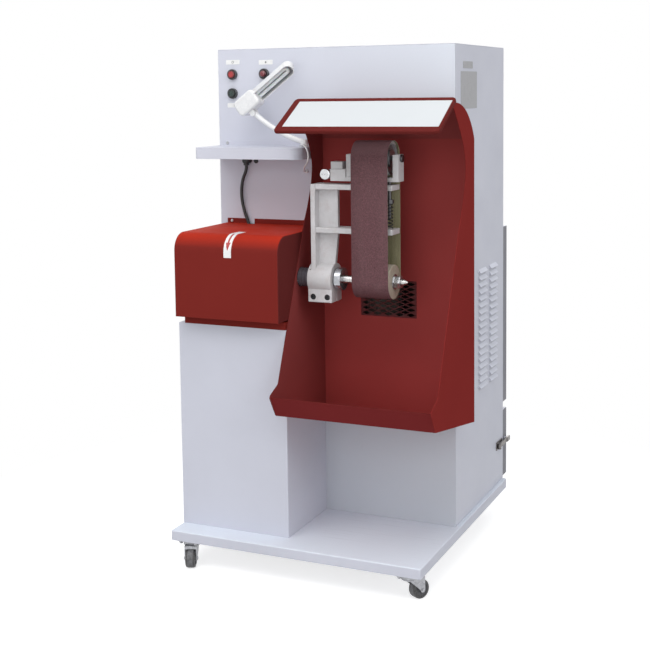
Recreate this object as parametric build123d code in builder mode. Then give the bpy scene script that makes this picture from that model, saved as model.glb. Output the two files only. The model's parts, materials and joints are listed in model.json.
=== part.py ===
from build123d import *
import math
import os

os.makedirs("parts", exist_ok=True)

# A floor-standing belt sander: a spindle motor on a pedestal drives an upright belt
# inside a dust hood, and the cabinet behind it filters the air that the hood draws in.
# Millimetres. X to the operator's right, Y to the back, Z up. The origin is on the floor
# under the middle of the machine.

# Cabinet
cabinet_width = 700.0
cabinet_depth = 455.0
cabinet_height = 1290.0
sheet = 2.0
flange = 15.0
weld_seam = 0.2

# Base tray and casters
tray_reach = 312.0
tray_overhang = 12.0
tray_height = 27.0
tray_sheet = 3.0
tray_corner = 6.0
tray_bend = 4.0
channel_width = 60.0
caster_height = 70.0
caster_plate = 58.0
caster_plate_sheet = 2.5
caster_inset_y = 33.0
caster_front_left = 47.0
caster_front_right = 39.0
caster_rear_left = 75.0
caster_rear_right = 84.0
wheel_diameter = 50.0
wheel_tread = 26.0
tread_round = 3.0
caster_trail = 27.0
caster_axle_radius = 4.0
king_pin_radius = 5.0
raceway_radius = 24.0
raceway_height = 7.5
fork_sheet = 2.5
fork_head = 3.5
fork_play = 1.2
crown_start = 12.5
crown_gap = 1.5
axle_boss_radius = 7.0
king_head_radius = 8.5

# Pedestal, motor pan and motor cover
pedestal_width = 320.0
pedestal_depth = 245.0
pedestal_drop = 127.0
pan_inset = 20.0
pan_depth = 20.0
pan_floor = 4.0
pan_reach = 247.0
cover_inset = 14.0
cover_reach = 286.0
cover_lift = 4.0
cover_height = 222.0
cover_bend = 46.0
cover_flange = 14.0
cover_flange_left = 8.0
cover_flange_right = 34.0
notch_inset = 98.0
notch_width = 20.0
notch_clearance = 1.0
notch_depth = 14.0
notch_reach = 8.0

# Spindle, motor and quill
spindle_reach = 150.0
spindle_height = 682.0
shaft_radius = 11.0
fit_clearance = 0.05
motor_radius = 82.0
motor_fin = 6.0
motor_fin_count = 28
motor_fin_width = 3.0
motor_inset = 28.0
motor_cowl = 44.0
motor_stack = 178.0
motor_shield = 34.0
motor_wall = 18.0
motor_foot_pitch = 125.0
motor_foot_width = 36.0
motor_foot_height = 10.0
motor_foot_length = 140.0
motor_axis_height = 90.0
terminal_box_width = 100.0
terminal_box_depth = 90.0
terminal_box_height = 30.0
rotor_radius = 61.0
rotor_length = 130.0
quill_radius = 24.0
quill_bore = 17.0
quill_flange_radius = 60.0
quill_flange = 12.0
quill_collar_radius = 25.5
quill_collar_gap = 4.0
quill_nut_radius = 30.0
quill_nut = 18.0
bearing_length = 16.0

# Belt, wheels and arm
belt_inset = 486.0
belt_width = 100.0
belt_length = 915.0
belt_thickness = 1.2
wheel_radius = 44.0
running_gap = 0.3
idler_margin = 4.0
idler_recess = 8.0
idler_rim = 7.0
shaft_shoulder_radius = 18.0
shaft_shoulder = 12.0
shaft_end_radius = 8.0
shaft_point = 10.0
nut_across_flats = 30.0
nut_thickness = 16.0
washer_radius = 20.0
washer_thickness = 3.0
clamp_inset = 357.0
clamp_width = 67.0
clamp_radius = 41.0
clamp_depth = 65.0
clamp_drop = 60.0
clamp_slit = 3.0
bolt_radius = 5.0
bolt_head_radius = 7.5
bolt_head = 8.0
bolt_sink = 9.0
bolt_drop = 46.0
bolt_pitch = 40.0
bolt_play = 0.2
upright_setback = 9.0
arm_flange = 13.0
arm_depth = 64.0
web_thickness = 12.0
web_top_width = 53.5
bar_end = 591.0
bar_depth = 56.0
bar_thickness = 14.0
low_bar_rise = 122.0
cast_round = 2.0

# Tension yoke
yoke_travel = 7.0
yoke_stop_gap = 1.0
yoke_clear = 4.4
yoke_bar = 11.0
yoke_depth = 40.0
yoke_inset = 418.0
yoke_block = 43.0
yoke_block_height = 31.0
yoke_cap_width = 33.0
yoke_cap_height = 19.0
yoke_arm = 17.0
yoke_fork = 16.0
yoke_fork_gap = 4.0
yoke_head = 10.0
axle_radius = 6.0
axle_end = 6.0
axle_collar_radius = 10.0
rod_radius = 5.0
rod_tail_radius = 4.0
rod_tail = 40.0
rod_inset = 12.0
rod_collar_radius = 11.0
rod_collar = 10.0
rod_neck = 24.0
spring_radius = 8.2
spring_wire_radius = 1.2
spring_turns = 7
spring_seat = 0.2
ear_width = 30.0
ear_thickness = 14.0
ear_height = 24.0
ear_rise = 5.0
knob_radius = 14.0
knob_thickness = 12.0
knob_hub_radius = 7.0
knob_shank_radius = 4.0
knob_gap = 2.0
knob_slot = 2.5

# Dust hood and visor
hood_outset = 52.0
hood_drop = 388.0
lip_reach = 312.0
lip_drop = 336.0
nose_reach = 348.0
nose_drop = 279.0
knee_reach = 296.0
knee_drop = 257.0
shoulder_reach = 125.0
shoulder_rise = 146.0
throat_low = (80.0, 920.0)
throat_deep = (71.0, 977.0)
throat_high = (110.0, 1060.0)
knee_round = 14.0
nose_round = 8.0
roof_centre_reach = 150.0
roof_centre_height = 971.0
visor_reach = 145.0
visor_height = 1152.0
visor_pitch = 29.8
visor_length = 161.0
visor_thickness = 10.0
visor_overhang = 9.0
visor_corner = 12.0
visor_left_border = 18.0
visor_right_border = 6.0
visor_top_border = 16.0
visor_low_border = 20.5
visor_ledge = 6.0
visor_panel_thickness = 3.0
visor_seat = 34.0
grille_inset = 432.0
grille_height = 561.0
grille_size = (160.0, 100.0)
grille_lap = 2.5
grille_sheet = 1.5
mesh_pitch = (32.0, 14.0)
mesh_hole = (26.6, 10.4)

# Shelf, controls and lamp
shelf_width = 314.0
shelf_reach = 140.0
shelf_drop = 31.0
shelf_height = 1021.0
shelf_corner = 28.0
shelf_left_corner = 8.0
shelf_flange = 14.0
screw_radius = 2.5
screw_head_radius = 4.8
screw_head = 3.2
screw_inset = 27.0
button_inset = 47.0
button_height = 1220.0
button_pitch_x = 100.0
button_pitch_z = 53.0
bezel_radius = 14.7
bezel_depth = 9.0
button_radius = 10.5
button_proud = 13.0
button_travel = 4.0
button_play = 0.3
lens_proud = 17.0
contact_block = (30.0, 40.0, 38.0)
bushing_depth = 12.0
bushing_radius = 11.5
lamp_reach = 62.0
lamp_inset = 296.0
lamp_base_radius = 14.0
lamp_base_height = 4.0
lamp_pin_radius = 5.0
lamp_socket_radius = 10.0
lamp_socket_height = 16.0
lamp_arm_radius = 7.2
lamp_arm_middle = (208.0, 1069.0)
lamp_pivot = (145.0, 1112.0)
lamp_head_middle = (130.0, 1141.0)
lamp_head_tilt = 37.3
lamp_head_size = (72.0, 48.0, 44.0)
lamp_head_round = 13.0
lamp_shade_roll = 38.0
lamp_shade_length = 165.0
lamp_shade_width = 34.0
lamp_shade_depth = 28.0
lamp_lug_radius = 7.5
lamp_lug_side = 0.8
lamp_lug = 4.0
lamp_tube_radius = 5.0
lamp_tube_pitch = 13.0
lamp_tube_end = 141.0
lamp_nipple_width = 8.0
lamp_nipple_height = 9.0
lamp_nipple_reach = 17.0

# Cabinet inside
door_depth = 37.0
door_bottom = 234.0
door_top = 764.0
door_inset = 13.0
door_lap = 30.0
drawer_front_bottom = 6.0
drawer_front_top = 209.0
drawer_inset = 24.0
drawer_floor = 16.0
drawer_top = 195.0
drawer_end = 30.0
opening_gap = 2.0
handle_reach = 28.0
handle_radius = 5.0
handle_post_radius = 4.0
handle_width = 120.0
handle_inset = 70.0
hinge_radius = 5.0
hinge_stand = 6.0
hinge_pin_radius = 2.5
hinge_height = 25.0
deck_height = 213.0
bag_plate_height = 800.0
exhaust_width = 100.0
dust_hole_margin = 60.0
bag_from_front = (130.0, 320.0)
bag_from_left = (100.0, 270.0, 440.0)
bag_radius = 66.0
bag_length = 420.0
bag_hole_radius = 60.0
bag_cloth = 3.0
runner_width = 20.0
runner_inset = 60.0
fan_inset = 158.0
fan_height = 980.0
fan_radius = 130.0
fan_front = 170.0
fan_width = 90.0
fan_outlet = (60.0, 130.0)
fan_inlet_radius = 70.0
fan_motor_radius = 62.0
fan_motor_length = 130.0
fan_shaft_radius = 10.0
impeller_radius = 105.0
impeller_width = 60.0
impeller_hub_radius = 24.0
impeller_eye_radius = 60.0
impeller_blade_count = 12
impeller_blade = 3.0
impeller_gap = 10.0
electrics_size = (140.0, 240.0, 210.0)
electrics_front = 60.0
electrics_height = 1040.0
louvre_columns = (240.0, 344.0)
louvre_rows = 18
louvre_width = 68.0
louvre_bottom = 334.5
louvre_pitch = 19.3
louvre_proud = 8.0
louvre_slot = 7.0

# Latch on the right side
latch_height = 115.0
latch_plate = (58.0, 24.0)
latch_plate_inset = 73.0
latch_pivot_inset = 60.0
latch_pin_radius = 3.0
latch_lever_width = 14.0
latch_lever_thickness = 4.0
latch_lever_reach = 41.0
latch_gap = 3.0
latch_grip = 26.0
latch_keeper = 4.0

# Cables
motor_cable_radius = 4.5
lamp_cable_radius = 2.2
elbow_inset = 94.0
elbow_height = 966.0
elbow_reach = 18.0
elbow_radius = 9.0
elbow_length = 14.0
cable_bow = 20.0
cable_bow_shares = (0.22, 0.4, 0.58, 0.76, 0.88)
motor_cable_dip = ((10.5, 4.5, 21.0), (17.0, 19.0, 36.0))
motor_cable_turn = ((10.5, 47.0, 5.0), (3.0, 31.0, 2.0))
grommet_radius = 6.0
grommet_depth = 4.0
lamp_cable_hole = (271.0, 952.0)
lamp_cable_start = 12.0
lamp_cable_fall = (
    (-10.0, 24.0, 7.0),
    (3.0, 33.0, 7.5),
    (14.0, 38.0, -3.0),
    (18.0, 38.0, -18.0),
    (14.0, 32.0, -32.0),
    (4.0, 20.0, -43.0),
    (-10.0, 3.0, -52.0),
)
lamp_cable_end = ((19.0, 52.0, 7.0), (10.0, 33.0, 3.0), (2.0, 15.0, 0.5), (0.0, 7.0, 0.0))
terminal_gland_inset = 20.0
terminal_gland_drop = 27.0
mains_gland = (90.0, 900.0)
mains_gland_radius = 14.0

# Main planes
left_x = -(cabinet_width + hood_outset) / 2
right_x = left_x + cabinet_width
hood_right = right_x + hood_outset
hood_bottom = spindle_height - hood_drop
lip_bottom = spindle_height - lip_drop
lip_top = spindle_height - nose_drop
knee_height = spindle_height - knee_drop
shoulder_height = spindle_height + shoulder_rise
to_knee = Vector(knee_reach - nose_reach, knee_height - lip_top).normalized()
to_lip = Vector(lip_reach - nose_reach, lip_bottom - lip_top).normalized()
nose_half_angle = math.acos(to_knee.dot(to_lip)) / 2
nose_inset = (to_knee + to_lip).normalized().X * nose_round / math.sin(nose_half_angle)
nose_tip = nose_reach + nose_inset + nose_round
front_y = (nose_tip - cabinet_depth - door_depth - handle_reach) / 2
back_y = front_y + cabinet_depth
deck_z = caster_height + tray_height
top_z = deck_z + cabinet_height
pedestal_x = left_x + pedestal_width
hood_left = pedestal_x + sheet
spindle_y = front_y - spindle_reach
spindle_z = deck_z + spindle_height
pedestal_z = spindle_z - pedestal_drop
belt_x = (left_x + belt_inset, left_x + belt_inset + belt_width)
belt_inner_radius = wheel_radius + running_gap
belt_mid_radius = belt_inner_radius + belt_thickness / 2
idler_rise = belt_length / 2 - math.pi * belt_mid_radius
idler_z = spindle_z + idler_rise


def slab(x, y, z, mode=Mode.ADD):
    """A rectangular block between two limits on each axis."""
    with BuildSketch(Plane.XY.offset(z[0])) as outline:
        with Locations(((x[0] + x[1]) / 2, (y[0] + y[1]) / 2)):
            Rectangle(x[1] - x[0], y[1] - y[0])
    extrude(outline.sketch, amount=z[1] - z[0], mode=mode)


def rod_x(x, centre, radius, mode=Mode.ADD):
    """A round bar along X; centre is (y, z)."""
    with BuildSketch(Plane.YZ.offset(x[0])) as disc:
        with Locations(centre):
            Circle(radius)
    extrude(disc.sketch, amount=x[1] - x[0], mode=mode)


def rod_y(y, centre, radius, mode=Mode.ADD):
    """A round bar along Y; centre is (x, z)."""
    with BuildSketch(Plane.XZ.offset(-y[1])) as disc:
        with Locations(centre):
            Circle(radius)
    extrude(disc.sketch, amount=y[1] - y[0], mode=mode)


def rod_z(z, centre, radius, mode=Mode.ADD):
    """A round bar along Z; centre is (x, y)."""
    with BuildSketch(Plane.XY.offset(z[0])) as disc:
        with Locations(centre):
            Circle(radius)
    extrude(disc.sketch, amount=z[1] - z[0], mode=mode)


def span(middle, width):
    """The two limits of a width about its middle."""
    return (middle - width / 2, middle + width / 2)


def save(piece, name):
    """Label a finished piece and write it."""
    piece.part.label = name
    export_step(piece.part, f"parts/{name}.step")


# Base tray: a folded deck with a box channel at each end for the casters
tray_x = (left_x, right_x + tray_overhang)
tray_y = (front_y - tray_reach, back_y)
tray_z = (caster_height, deck_z)
tray_inside_x = (tray_x[0] + tray_sheet, tray_x[1] - tray_sheet)
channels_y = (
    (tray_y[0] + tray_sheet, tray_y[0] + tray_sheet + channel_width),
    (tray_y[1] - tray_sheet - channel_width, tray_y[1] - tray_sheet),
)
with BuildPart() as base_tray:
    slab(tray_x, tray_y, tray_z)
    fillet(base_tray.edges().filter_by(Axis.Z), tray_corner)
    fillet(base_tray.faces().sort_by(Axis.Z)[-1].edges(), tray_bend)
    slab(
        tray_inside_x,
        (tray_y[0] + tray_sheet, tray_y[1] - tray_sheet),
        (tray_z[0], tray_z[1] - tray_sheet),
        mode=Mode.SUBTRACT,
    )
    for channel_y in channels_y:
        slab(tray_inside_x, channel_y, (tray_z[0], tray_z[1] - tray_sheet))
        slab(
            tray_inside_x,
            (channel_y[0] + tray_sheet, channel_y[1] - tray_sheet),
            (tray_z[0] + tray_sheet, tray_z[1] - tray_sheet),
            mode=Mode.SUBTRACT,
        )
save(base_tray, "base_tray")

# Casters: place of the king pin and the way each wheel trails at rest
caster_places = {
    "front_left": (tray_x[0] + caster_front_left, tray_y[0] + caster_inset_y, -69.0),
    "front_right": (tray_x[1] - caster_front_right, tray_y[0] + caster_inset_y, 60.0),
    "rear_left": (tray_x[0] + caster_rear_left, tray_y[1] - caster_inset_y, 120.0),
    "rear_right": (tray_x[1] - caster_rear_right, tray_y[1] - caster_inset_y, 160.0),
}
plate_z = (caster_height - caster_plate_sheet, caster_height)
raceway_z = (plate_z[0] - raceway_height, plate_z[0])
fork_head_z = (raceway_z[0] - running_gap - fork_head, raceway_z[0] - running_gap)
pin_head_z = (fork_head_z[0] - running_gap - fork_sheet, fork_head_z[0] - running_gap)
wheel_z = wheel_diameter / 2
with BuildPart() as caster_plates:
    for x, y, _ in caster_places.values():
        slab(span(x, caster_plate), span(y, caster_plate), plate_z)
        rod_z(raceway_z, (x, y), raceway_radius)
        rod_z((pin_head_z[0], raceway_z[0]), (x, y), king_pin_radius)
        rod_z(pin_head_z, (x, y), king_head_radius)
save(caster_plates, "caster_plates")

# Each fork is a pressed head with a crown over the tyre and two legs down to the axle
leg_y = wheel_tread / 2 + fork_play
fork_reach = caster_trail + axle_boss_radius
crown_depth = fork_head_z[0] - wheel_diameter - crown_gap
axle_half = leg_y + 2 * fork_sheet
for place, (x, y, heading) in caster_places.items():
    turn = math.radians(heading)
    trail = (math.cos(turn), math.sin(turn), 0)
    side = (-math.sin(turn), math.cos(turn), 0)
    hub = (x + caster_trail * trail[0], y + caster_trail * trail[1], wheel_z)
    head_plane = Plane((x, y, fork_head_z[0]), x_dir=trail, z_dir=(0, 0, 1))
    leg_plane = Plane((x, y, 0), x_dir=trail, z_dir=(side[0] * -1, side[1] * -1, 0))
    axle_plane = Plane(hub, x_dir=trail, z_dir=side)
    with BuildPart() as fork:
        with BuildSketch(head_plane):
            Circle(raceway_radius)
            with Locations((fork_reach / 2, 0)):
                Rectangle(fork_reach, 2 * (leg_y + fork_sheet))
            Circle(king_pin_radius + fit_clearance, mode=Mode.SUBTRACT)
        extrude(amount=fork_head_z[1] - fork_head_z[0])
        with BuildSketch(head_plane):
            with Locations(((crown_start + fork_reach) / 2, 0)):
                Rectangle(fork_reach - crown_start, 2 * (leg_y + fork_sheet))
        extrude(amount=-crown_depth)
        for inner in (leg_y, -leg_y - fork_sheet):
            with BuildSketch(leg_plane.offset(-inner - fork_sheet)):
                with BuildLine():
                    Polyline(
                        (-raceway_radius * 0.6, fork_head_z[0]),
                        (caster_trail - axle_boss_radius, wheel_z),
                        (fork_reach, wheel_z),
                        (fork_reach, fork_head_z[0]),
                        close=True,
                    )
                make_face()
                with Locations((caster_trail, wheel_z)):
                    Circle(axle_boss_radius)
            extrude(amount=fork_sheet)
        with BuildSketch(axle_plane.offset(-axle_half)):
            Circle(caster_axle_radius)
        extrude(amount=2 * axle_half)
    save(fork, f"caster_fork_{place}")
    with BuildPart() as wheel:
        with BuildSketch(axle_plane.offset(-wheel_tread / 2)):
            Circle(wheel_diameter / 2)
        extrude(amount=wheel_tread)
        fillet(wheel.edges().filter_by(GeomType.CIRCLE), tread_round)
        with BuildSketch(axle_plane.offset(-wheel_tread / 2)):
            Circle(caster_axle_radius + fit_clearance)
        extrude(amount=wheel_tread, mode=Mode.SUBTRACT)
    save(wheel, f"caster_wheel_{place}")

# Cabinet front: one sheet with the suction opening, control holes and cable holes
panel_z = (deck_z, top_z - sheet)
front_sheet_y = (front_y, front_y + sheet)
grille_x = (left_x + grille_inset, left_x + grille_inset + grille_size[0])
grille_z = (deck_z + grille_height, deck_z + grille_height + grille_size[1])
suction_x = (grille_x[0] + grille_lap, grille_x[1] - grille_lap)
suction_z = (grille_z[0] + grille_lap, grille_z[1] - grille_lap)
stop_at = (left_x + button_inset, deck_z + button_height)
pilot_at = (stop_at[0] + button_pitch_x, stop_at[1])
start_at = (stop_at[0], stop_at[1] - button_pitch_z)
cover_top = pedestal_z + pan_depth + cover_lift + cover_height
shelf_top = deck_z + shelf_height
cover_x = (left_x + cover_inset, pedestal_x)
cover_flange_x = (cover_x[0] + cover_flange_left, cover_x[1] - cover_flange_right)
shelf_x = (left_x, left_x + shelf_width)
screws_at = (
    (cover_flange_x[0] + flange, cover_top + cover_flange / 2),
    (cover_flange_x[1] - flange, cover_top + cover_flange / 2),
    (shelf_x[0] + screw_inset, shelf_top + shelf_flange / 2),
    (shelf_x[1] - screw_inset, shelf_top + shelf_flange / 2),
)
elbow_at = (left_x + elbow_inset, deck_z + elbow_height + elbow_length)
grommet_at = (left_x + lamp_cable_hole[0], deck_z + lamp_cable_hole[1])
with BuildPart() as cabinet_front:
    slab((left_x, right_x), front_sheet_y, panel_z)
    slab(suction_x, front_sheet_y, suction_z, mode=Mode.SUBTRACT)
    for centre in (stop_at, pilot_at, start_at):
        rod_y(front_sheet_y, centre, bushing_radius + fit_clearance, mode=Mode.SUBTRACT)
    for centre in screws_at:
        rod_y(front_sheet_y, centre, screw_radius + fit_clearance, mode=Mode.SUBTRACT)
    rod_y(front_sheet_y, elbow_at, motor_cable_radius, mode=Mode.SUBTRACT)
    rod_y(front_sheet_y, grommet_at, lamp_cable_radius, mode=Mode.SUBTRACT)
save(cabinet_front, "cabinet_front")

# Cabinet sides: folded sheets whose flanges meet the front, the back and the deck
side_y = (front_y + sheet, back_y - sheet)
inside_x = (left_x + sheet, right_x - sheet)
inside_y = (side_y[0] + sheet, side_y[1] - sheet)


def folded_side(outer, inner, toe):
    """A side sheet from its outer to its inner face, with flanges out to the toe."""
    slab((min(outer, inner), max(outer, inner)), side_y, panel_z)
    toes = (min(inner, toe), max(inner, toe))
    slab(toes, (side_y[0], inside_y[0]), panel_z)
    slab(toes, (inside_y[1], side_y[1]), panel_z)
    slab(toes, side_y, (panel_z[0], panel_z[0] + sheet))


with BuildPart() as cabinet_left_side:
    folded_side(left_x, inside_x[0], inside_x[0] + flange)
save(cabinet_left_side, "cabinet_left_side")

with BuildPart() as cabinet_right_side:
    folded_side(right_x, inside_x[1], inside_x[1] - flange)
    row_height = (louvre_rows - 1) * louvre_pitch
    louvres_middle_z = deck_z + louvre_bottom + row_height / 2
    for column in louvre_columns:
        column_y = front_y + column
        # Each louvre is pressed out as a wedge, hollow from behind and open at its bottom
        for wall, mode in ((0, Mode.ADD), (sheet, Mode.SUBTRACT)):
            with BuildSketch(Plane.XZ.offset(wall - column_y - louvre_width / 2)):
                with Locations((right_x - wall, louvres_middle_z)):
                    with GridLocations(1, louvre_pitch, 1, louvre_rows):
                        Polygon(
                            (0, louvre_slot),
                            (louvre_proud, -louvre_slot / 2),
                            (0, -louvre_slot / 2),
                            align=None,
                        )
            extrude(amount=louvre_width - 2 * wall, mode=mode)
save(cabinet_right_side, "cabinet_right_side")

# Cabinet top: a lid with a turned-down rim inside the panels
with BuildPart() as cabinet_top:
    slab((left_x, right_x), (front_y, back_y), (top_z - sheet, top_z))
    rim_x = (inside_x[0] + flange + 1, inside_x[1] - flange - 1)
    rim_y = (inside_y[0] + 1, inside_y[1] - 1)
    rim_z = (top_z - sheet - flange, top_z - sheet)
    slab(rim_x, rim_y, rim_z)
    slab(
        (rim_x[0] + sheet, rim_x[1] - sheet),
        (rim_y[0] + sheet, rim_y[1] - sheet),
        rim_z,
        mode=Mode.SUBTRACT,
    )
save(cabinet_top, "cabinet_top")

# Cabinet back: sheets butt-welded round the filter door's and the drawer's openings, with
# two hinge halves
door_x = (left_x + door_inset, right_x)
door_z = (deck_z + door_bottom, deck_z + door_top)
drawer_x = (left_x + drawer_inset, right_x - drawer_inset)
drawer_z = (deck_z + drawer_floor, deck_z + drawer_top)
hinge_at = (left_x + hinge_stand, back_y + hinge_stand)
hinges_z = (door_z[0] + 3 * hinge_height, door_z[1] - 3 * hinge_height)
mains_at = (left_x + mains_gland[0], deck_z + mains_gland[1])
back_sheet_y = (back_y - sheet, back_y)
seam_tops = (
    drawer_z[0] - opening_gap,
    drawer_z[1] + opening_gap + weld_seam,
    door_z[0] + door_lap,
    door_z[1] - door_lap + weld_seam,
)
with BuildPart() as cabinet_back:
    slab((left_x, right_x), back_sheet_y, panel_z)
    slab(
        (door_x[0] + door_lap, door_x[1] - door_lap),
        back_sheet_y,
        (door_z[0] + door_lap, door_z[1] - door_lap),
        mode=Mode.SUBTRACT,
    )
    slab(
        (drawer_x[0] - opening_gap, drawer_x[1] + opening_gap),
        back_sheet_y,
        (drawer_z[0] - opening_gap, drawer_z[1] + opening_gap),
        mode=Mode.SUBTRACT,
    )
    for seam_top in seam_tops:
        slab((left_x, right_x), back_sheet_y, (seam_top - weld_seam, seam_top), mode=Mode.SUBTRACT)
    rod_y(back_sheet_y, mains_at, mains_gland_radius / 2, mode=Mode.SUBTRACT)
    for middle in hinges_z:
        low_half = (middle - hinge_height, middle)
        rod_z(low_half, hinge_at, hinge_radius)
        slab(span(hinge_at[0], hinge_radius), (back_y, hinge_at[1]), low_half)
        rod_z((middle, middle + hinge_height), hinge_at, hinge_pin_radius)
save(cabinet_back, "cabinet_back")

# Inner decks: drawer roof, partition to the exhaust chamber, bag plate and drawer runners
deck_sheet_z = (deck_z + deck_height, deck_z + deck_height + sheet)
bag_plate_z = (deck_z + bag_plate_height, deck_z + bag_plate_height + sheet)
partition_x = (right_x - exhaust_width - sheet, right_x - exhaust_width)
fan_at = (right_x - fan_inset, deck_z + fan_height)
fan_y = (front_y + fan_front, front_y + fan_front + fan_width)
outlet_x = (fan_at[0] + fan_outlet[0], fan_at[0] + fan_outlet[1])
bags_at = [(left_x + across, front_y + back) for across in bag_from_left for back in bag_from_front]
with BuildPart() as inner_decks:
    slab(inside_x, inside_y, deck_sheet_z)
    slab(
        (inside_x[0] + dust_hole_margin, partition_x[0] - dust_hole_margin),
        (inside_y[0] + dust_hole_margin, inside_y[1] - dust_hole_margin),
        deck_sheet_z,
        mode=Mode.SUBTRACT,
    )
    slab(partition_x, inside_y, (deck_sheet_z[1], bag_plate_z[0]))
    slab(inside_x, inside_y, bag_plate_z)
    for centre in bags_at:
        rod_z(bag_plate_z, centre, bag_hole_radius, mode=Mode.SUBTRACT)
    slab(
        (outlet_x[0] + sheet, outlet_x[1] - sheet),
        (fan_y[0] + sheet, fan_y[1] - sheet),
        bag_plate_z,
        mode=Mode.SUBTRACT,
    )
    for runner_x in (drawer_x[0] + runner_inset, drawer_x[1] - runner_inset):
        slab(
            span(runner_x, runner_width),
            inside_y,
            (deck_z, drawer_z[0] - running_gap),
        )
save(inner_decks, "inner_decks")

# Pedestal: a folded column in front of the cabinet, open to it at the back
pedestal_y = (front_y - pedestal_depth, front_y)
pedestal_walls_x = (left_x + sheet, pedestal_x - sheet)
with BuildPart() as pedestal:
    slab((left_x, pedestal_x), pedestal_y, (deck_z, pedestal_z))
    fillet(pedestal.edges().filter_by(Axis.Z).group_by(Axis.Y)[0], sheet)
    slab(
        pedestal_walls_x,
        (pedestal_y[0] + sheet, pedestal_y[1]),
        (deck_z, pedestal_z - sheet),
        mode=Mode.SUBTRACT,
    )
    slab(
        (pedestal_walls_x[0] + flange, pedestal_walls_x[1] - flange),
        (pedestal_y[0] + sheet + flange, pedestal_y[1]),
        (pedestal_z - sheet, pedestal_z),
        mode=Mode.SUBTRACT,
    )
    for toe_x in (
        (pedestal_walls_x[0], pedestal_walls_x[0] + flange),
        (pedestal_walls_x[1] - flange, pedestal_walls_x[1]),
    ):
        slab(toe_x, (pedestal_y[1] - sheet, pedestal_y[1]), (deck_z, pedestal_z))
save(pedestal, "pedestal")

# Motor pan: a shallow tray on the pedestal with two rails that carry the motor feet
pan_x = (left_x + pan_inset, pedestal_x)
pan_y = (front_y - pan_reach, front_y)
pan_z = (pedestal_z, pedestal_z + pan_depth)
foot_z = spindle_z - motor_axis_height
motor_x = left_x + motor_inset
stack_x = (motor_x + motor_cowl, motor_x + motor_cowl + motor_stack)
shield_x = (stack_x[1], stack_x[1] + motor_shield)
feet_x = span((stack_x[0] + stack_x[1]) / 2, motor_foot_length)
feet_y = (spindle_y - motor_foot_pitch / 2, spindle_y + motor_foot_pitch / 2)
with BuildPart() as motor_pan:
    slab(pan_x, pan_y, pan_z)
    slab(
        (pan_x[0] + sheet, pan_x[1] - sheet),
        (pan_y[0] + sheet, pan_y[1] - sheet),
        (pan_z[0] + pan_floor, pan_z[1]),
        mode=Mode.SUBTRACT,
    )
    for foot_y in feet_y:
        slab(feet_x, span(foot_y, motor_foot_width), (pan_z[0] + pan_floor, foot_z))
save(motor_pan, "motor_pan")

# Spindle motor: finned stator shell with end shields, fan cowl, feet and terminal box
box_x = span((stack_x[0] + stack_x[1]) / 2, terminal_box_width)
box_y = span(spindle_y, terminal_box_depth)
box_z = (spindle_z + motor_radius - motor_wall / 2, spindle_z + motor_radius + terminal_box_height)
axis_yz = (spindle_y, spindle_z)
with BuildPart() as motor_frame:
    rod_x(stack_x, axis_yz, motor_radius)
    with BuildSketch(Plane.YZ.offset(stack_x[0])):
        with Locations(axis_yz):
            with PolarLocations(motor_radius, motor_fin_count):
                Rectangle(2 * motor_fin, motor_fin_width)
    extrude(amount=motor_stack)
    rod_x((motor_x, stack_x[0]), axis_yz, motor_radius + motor_fin)
    fillet(motor_frame.faces().sort_by(Axis.X)[0].edges(), motor_fin)
    rod_x(shield_x, axis_yz, motor_radius + motor_fin / 2)
    for foot_y in feet_y:
        slab(feet_x, span(foot_y, motor_foot_width), (foot_z, foot_z + motor_foot_height))
        slab(
            feet_x,
            span(foot_y, motor_foot_height),
            (foot_z, spindle_z - motor_radius / 2),
        )
    slab(box_x, box_y, box_z)
    rod_x(
        stack_x,
        axis_yz,
        motor_radius - motor_wall,
        mode=Mode.SUBTRACT,
    )
    rod_x((motor_x + motor_fin, shield_x[1]), axis_yz, shaft_radius + fit_clearance, mode=Mode.SUBTRACT)
save(motor_frame, "motor_frame")

# Motor cover: a folded hood over the motor, open below and to the cabinet
cover_y = (front_y - cover_reach, front_y)
cover_z = (cover_top - cover_height, cover_top)


def cover_profile(inset):
    """The cover's side outline, pulled in by an inset at the front and the top."""
    with BuildSketch(Plane.YZ.offset(cover_x[0] + inset)) as outline:
        with BuildLine():
            bend = FilletPolyline(
                (cover_y[1], cover_z[1] - inset),
                (cover_y[0] + inset, cover_z[1] - inset),
                (cover_y[0] + inset, cover_z[0]),
                radius=cover_bend - inset,
            )
            Polyline(bend @ 1, (cover_y[1], cover_z[0]), bend @ 0)
        make_face()
    return outline.sketch


slot_radius = quill_radius + 3 * sheet
notch_x = span(left_x + notch_inset, notch_width)
cover_flange_z = (cover_top - sheet, cover_top + cover_flange)
with BuildPart() as motor_cover:
    extrude(cover_profile(0), amount=cover_x[1] - cover_x[0])
    extrude(cover_profile(sheet), amount=cover_x[1] - cover_x[0] - 2 * sheet, mode=Mode.SUBTRACT)
    slab(cover_flange_x, (front_y - sheet, front_y), cover_flange_z)
    slab(notch_x, (front_y - notch_depth, front_y), cover_flange_z, mode=Mode.SUBTRACT)
    rod_x((cover_x[1] - sheet, cover_x[1]), axis_yz, slot_radius, mode=Mode.SUBTRACT)
    slab(
        (cover_x[1] - sheet, cover_x[1]),
        span(spindle_y, 2 * slot_radius),
        (cover_z[0], spindle_z),
        mode=Mode.SUBTRACT,
    )
    for centre in screws_at[:2]:
        rod_y((front_y - sheet, front_y), centre, screw_radius + fit_clearance, mode=Mode.SUBTRACT)
save(motor_cover, "motor_cover")

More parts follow.
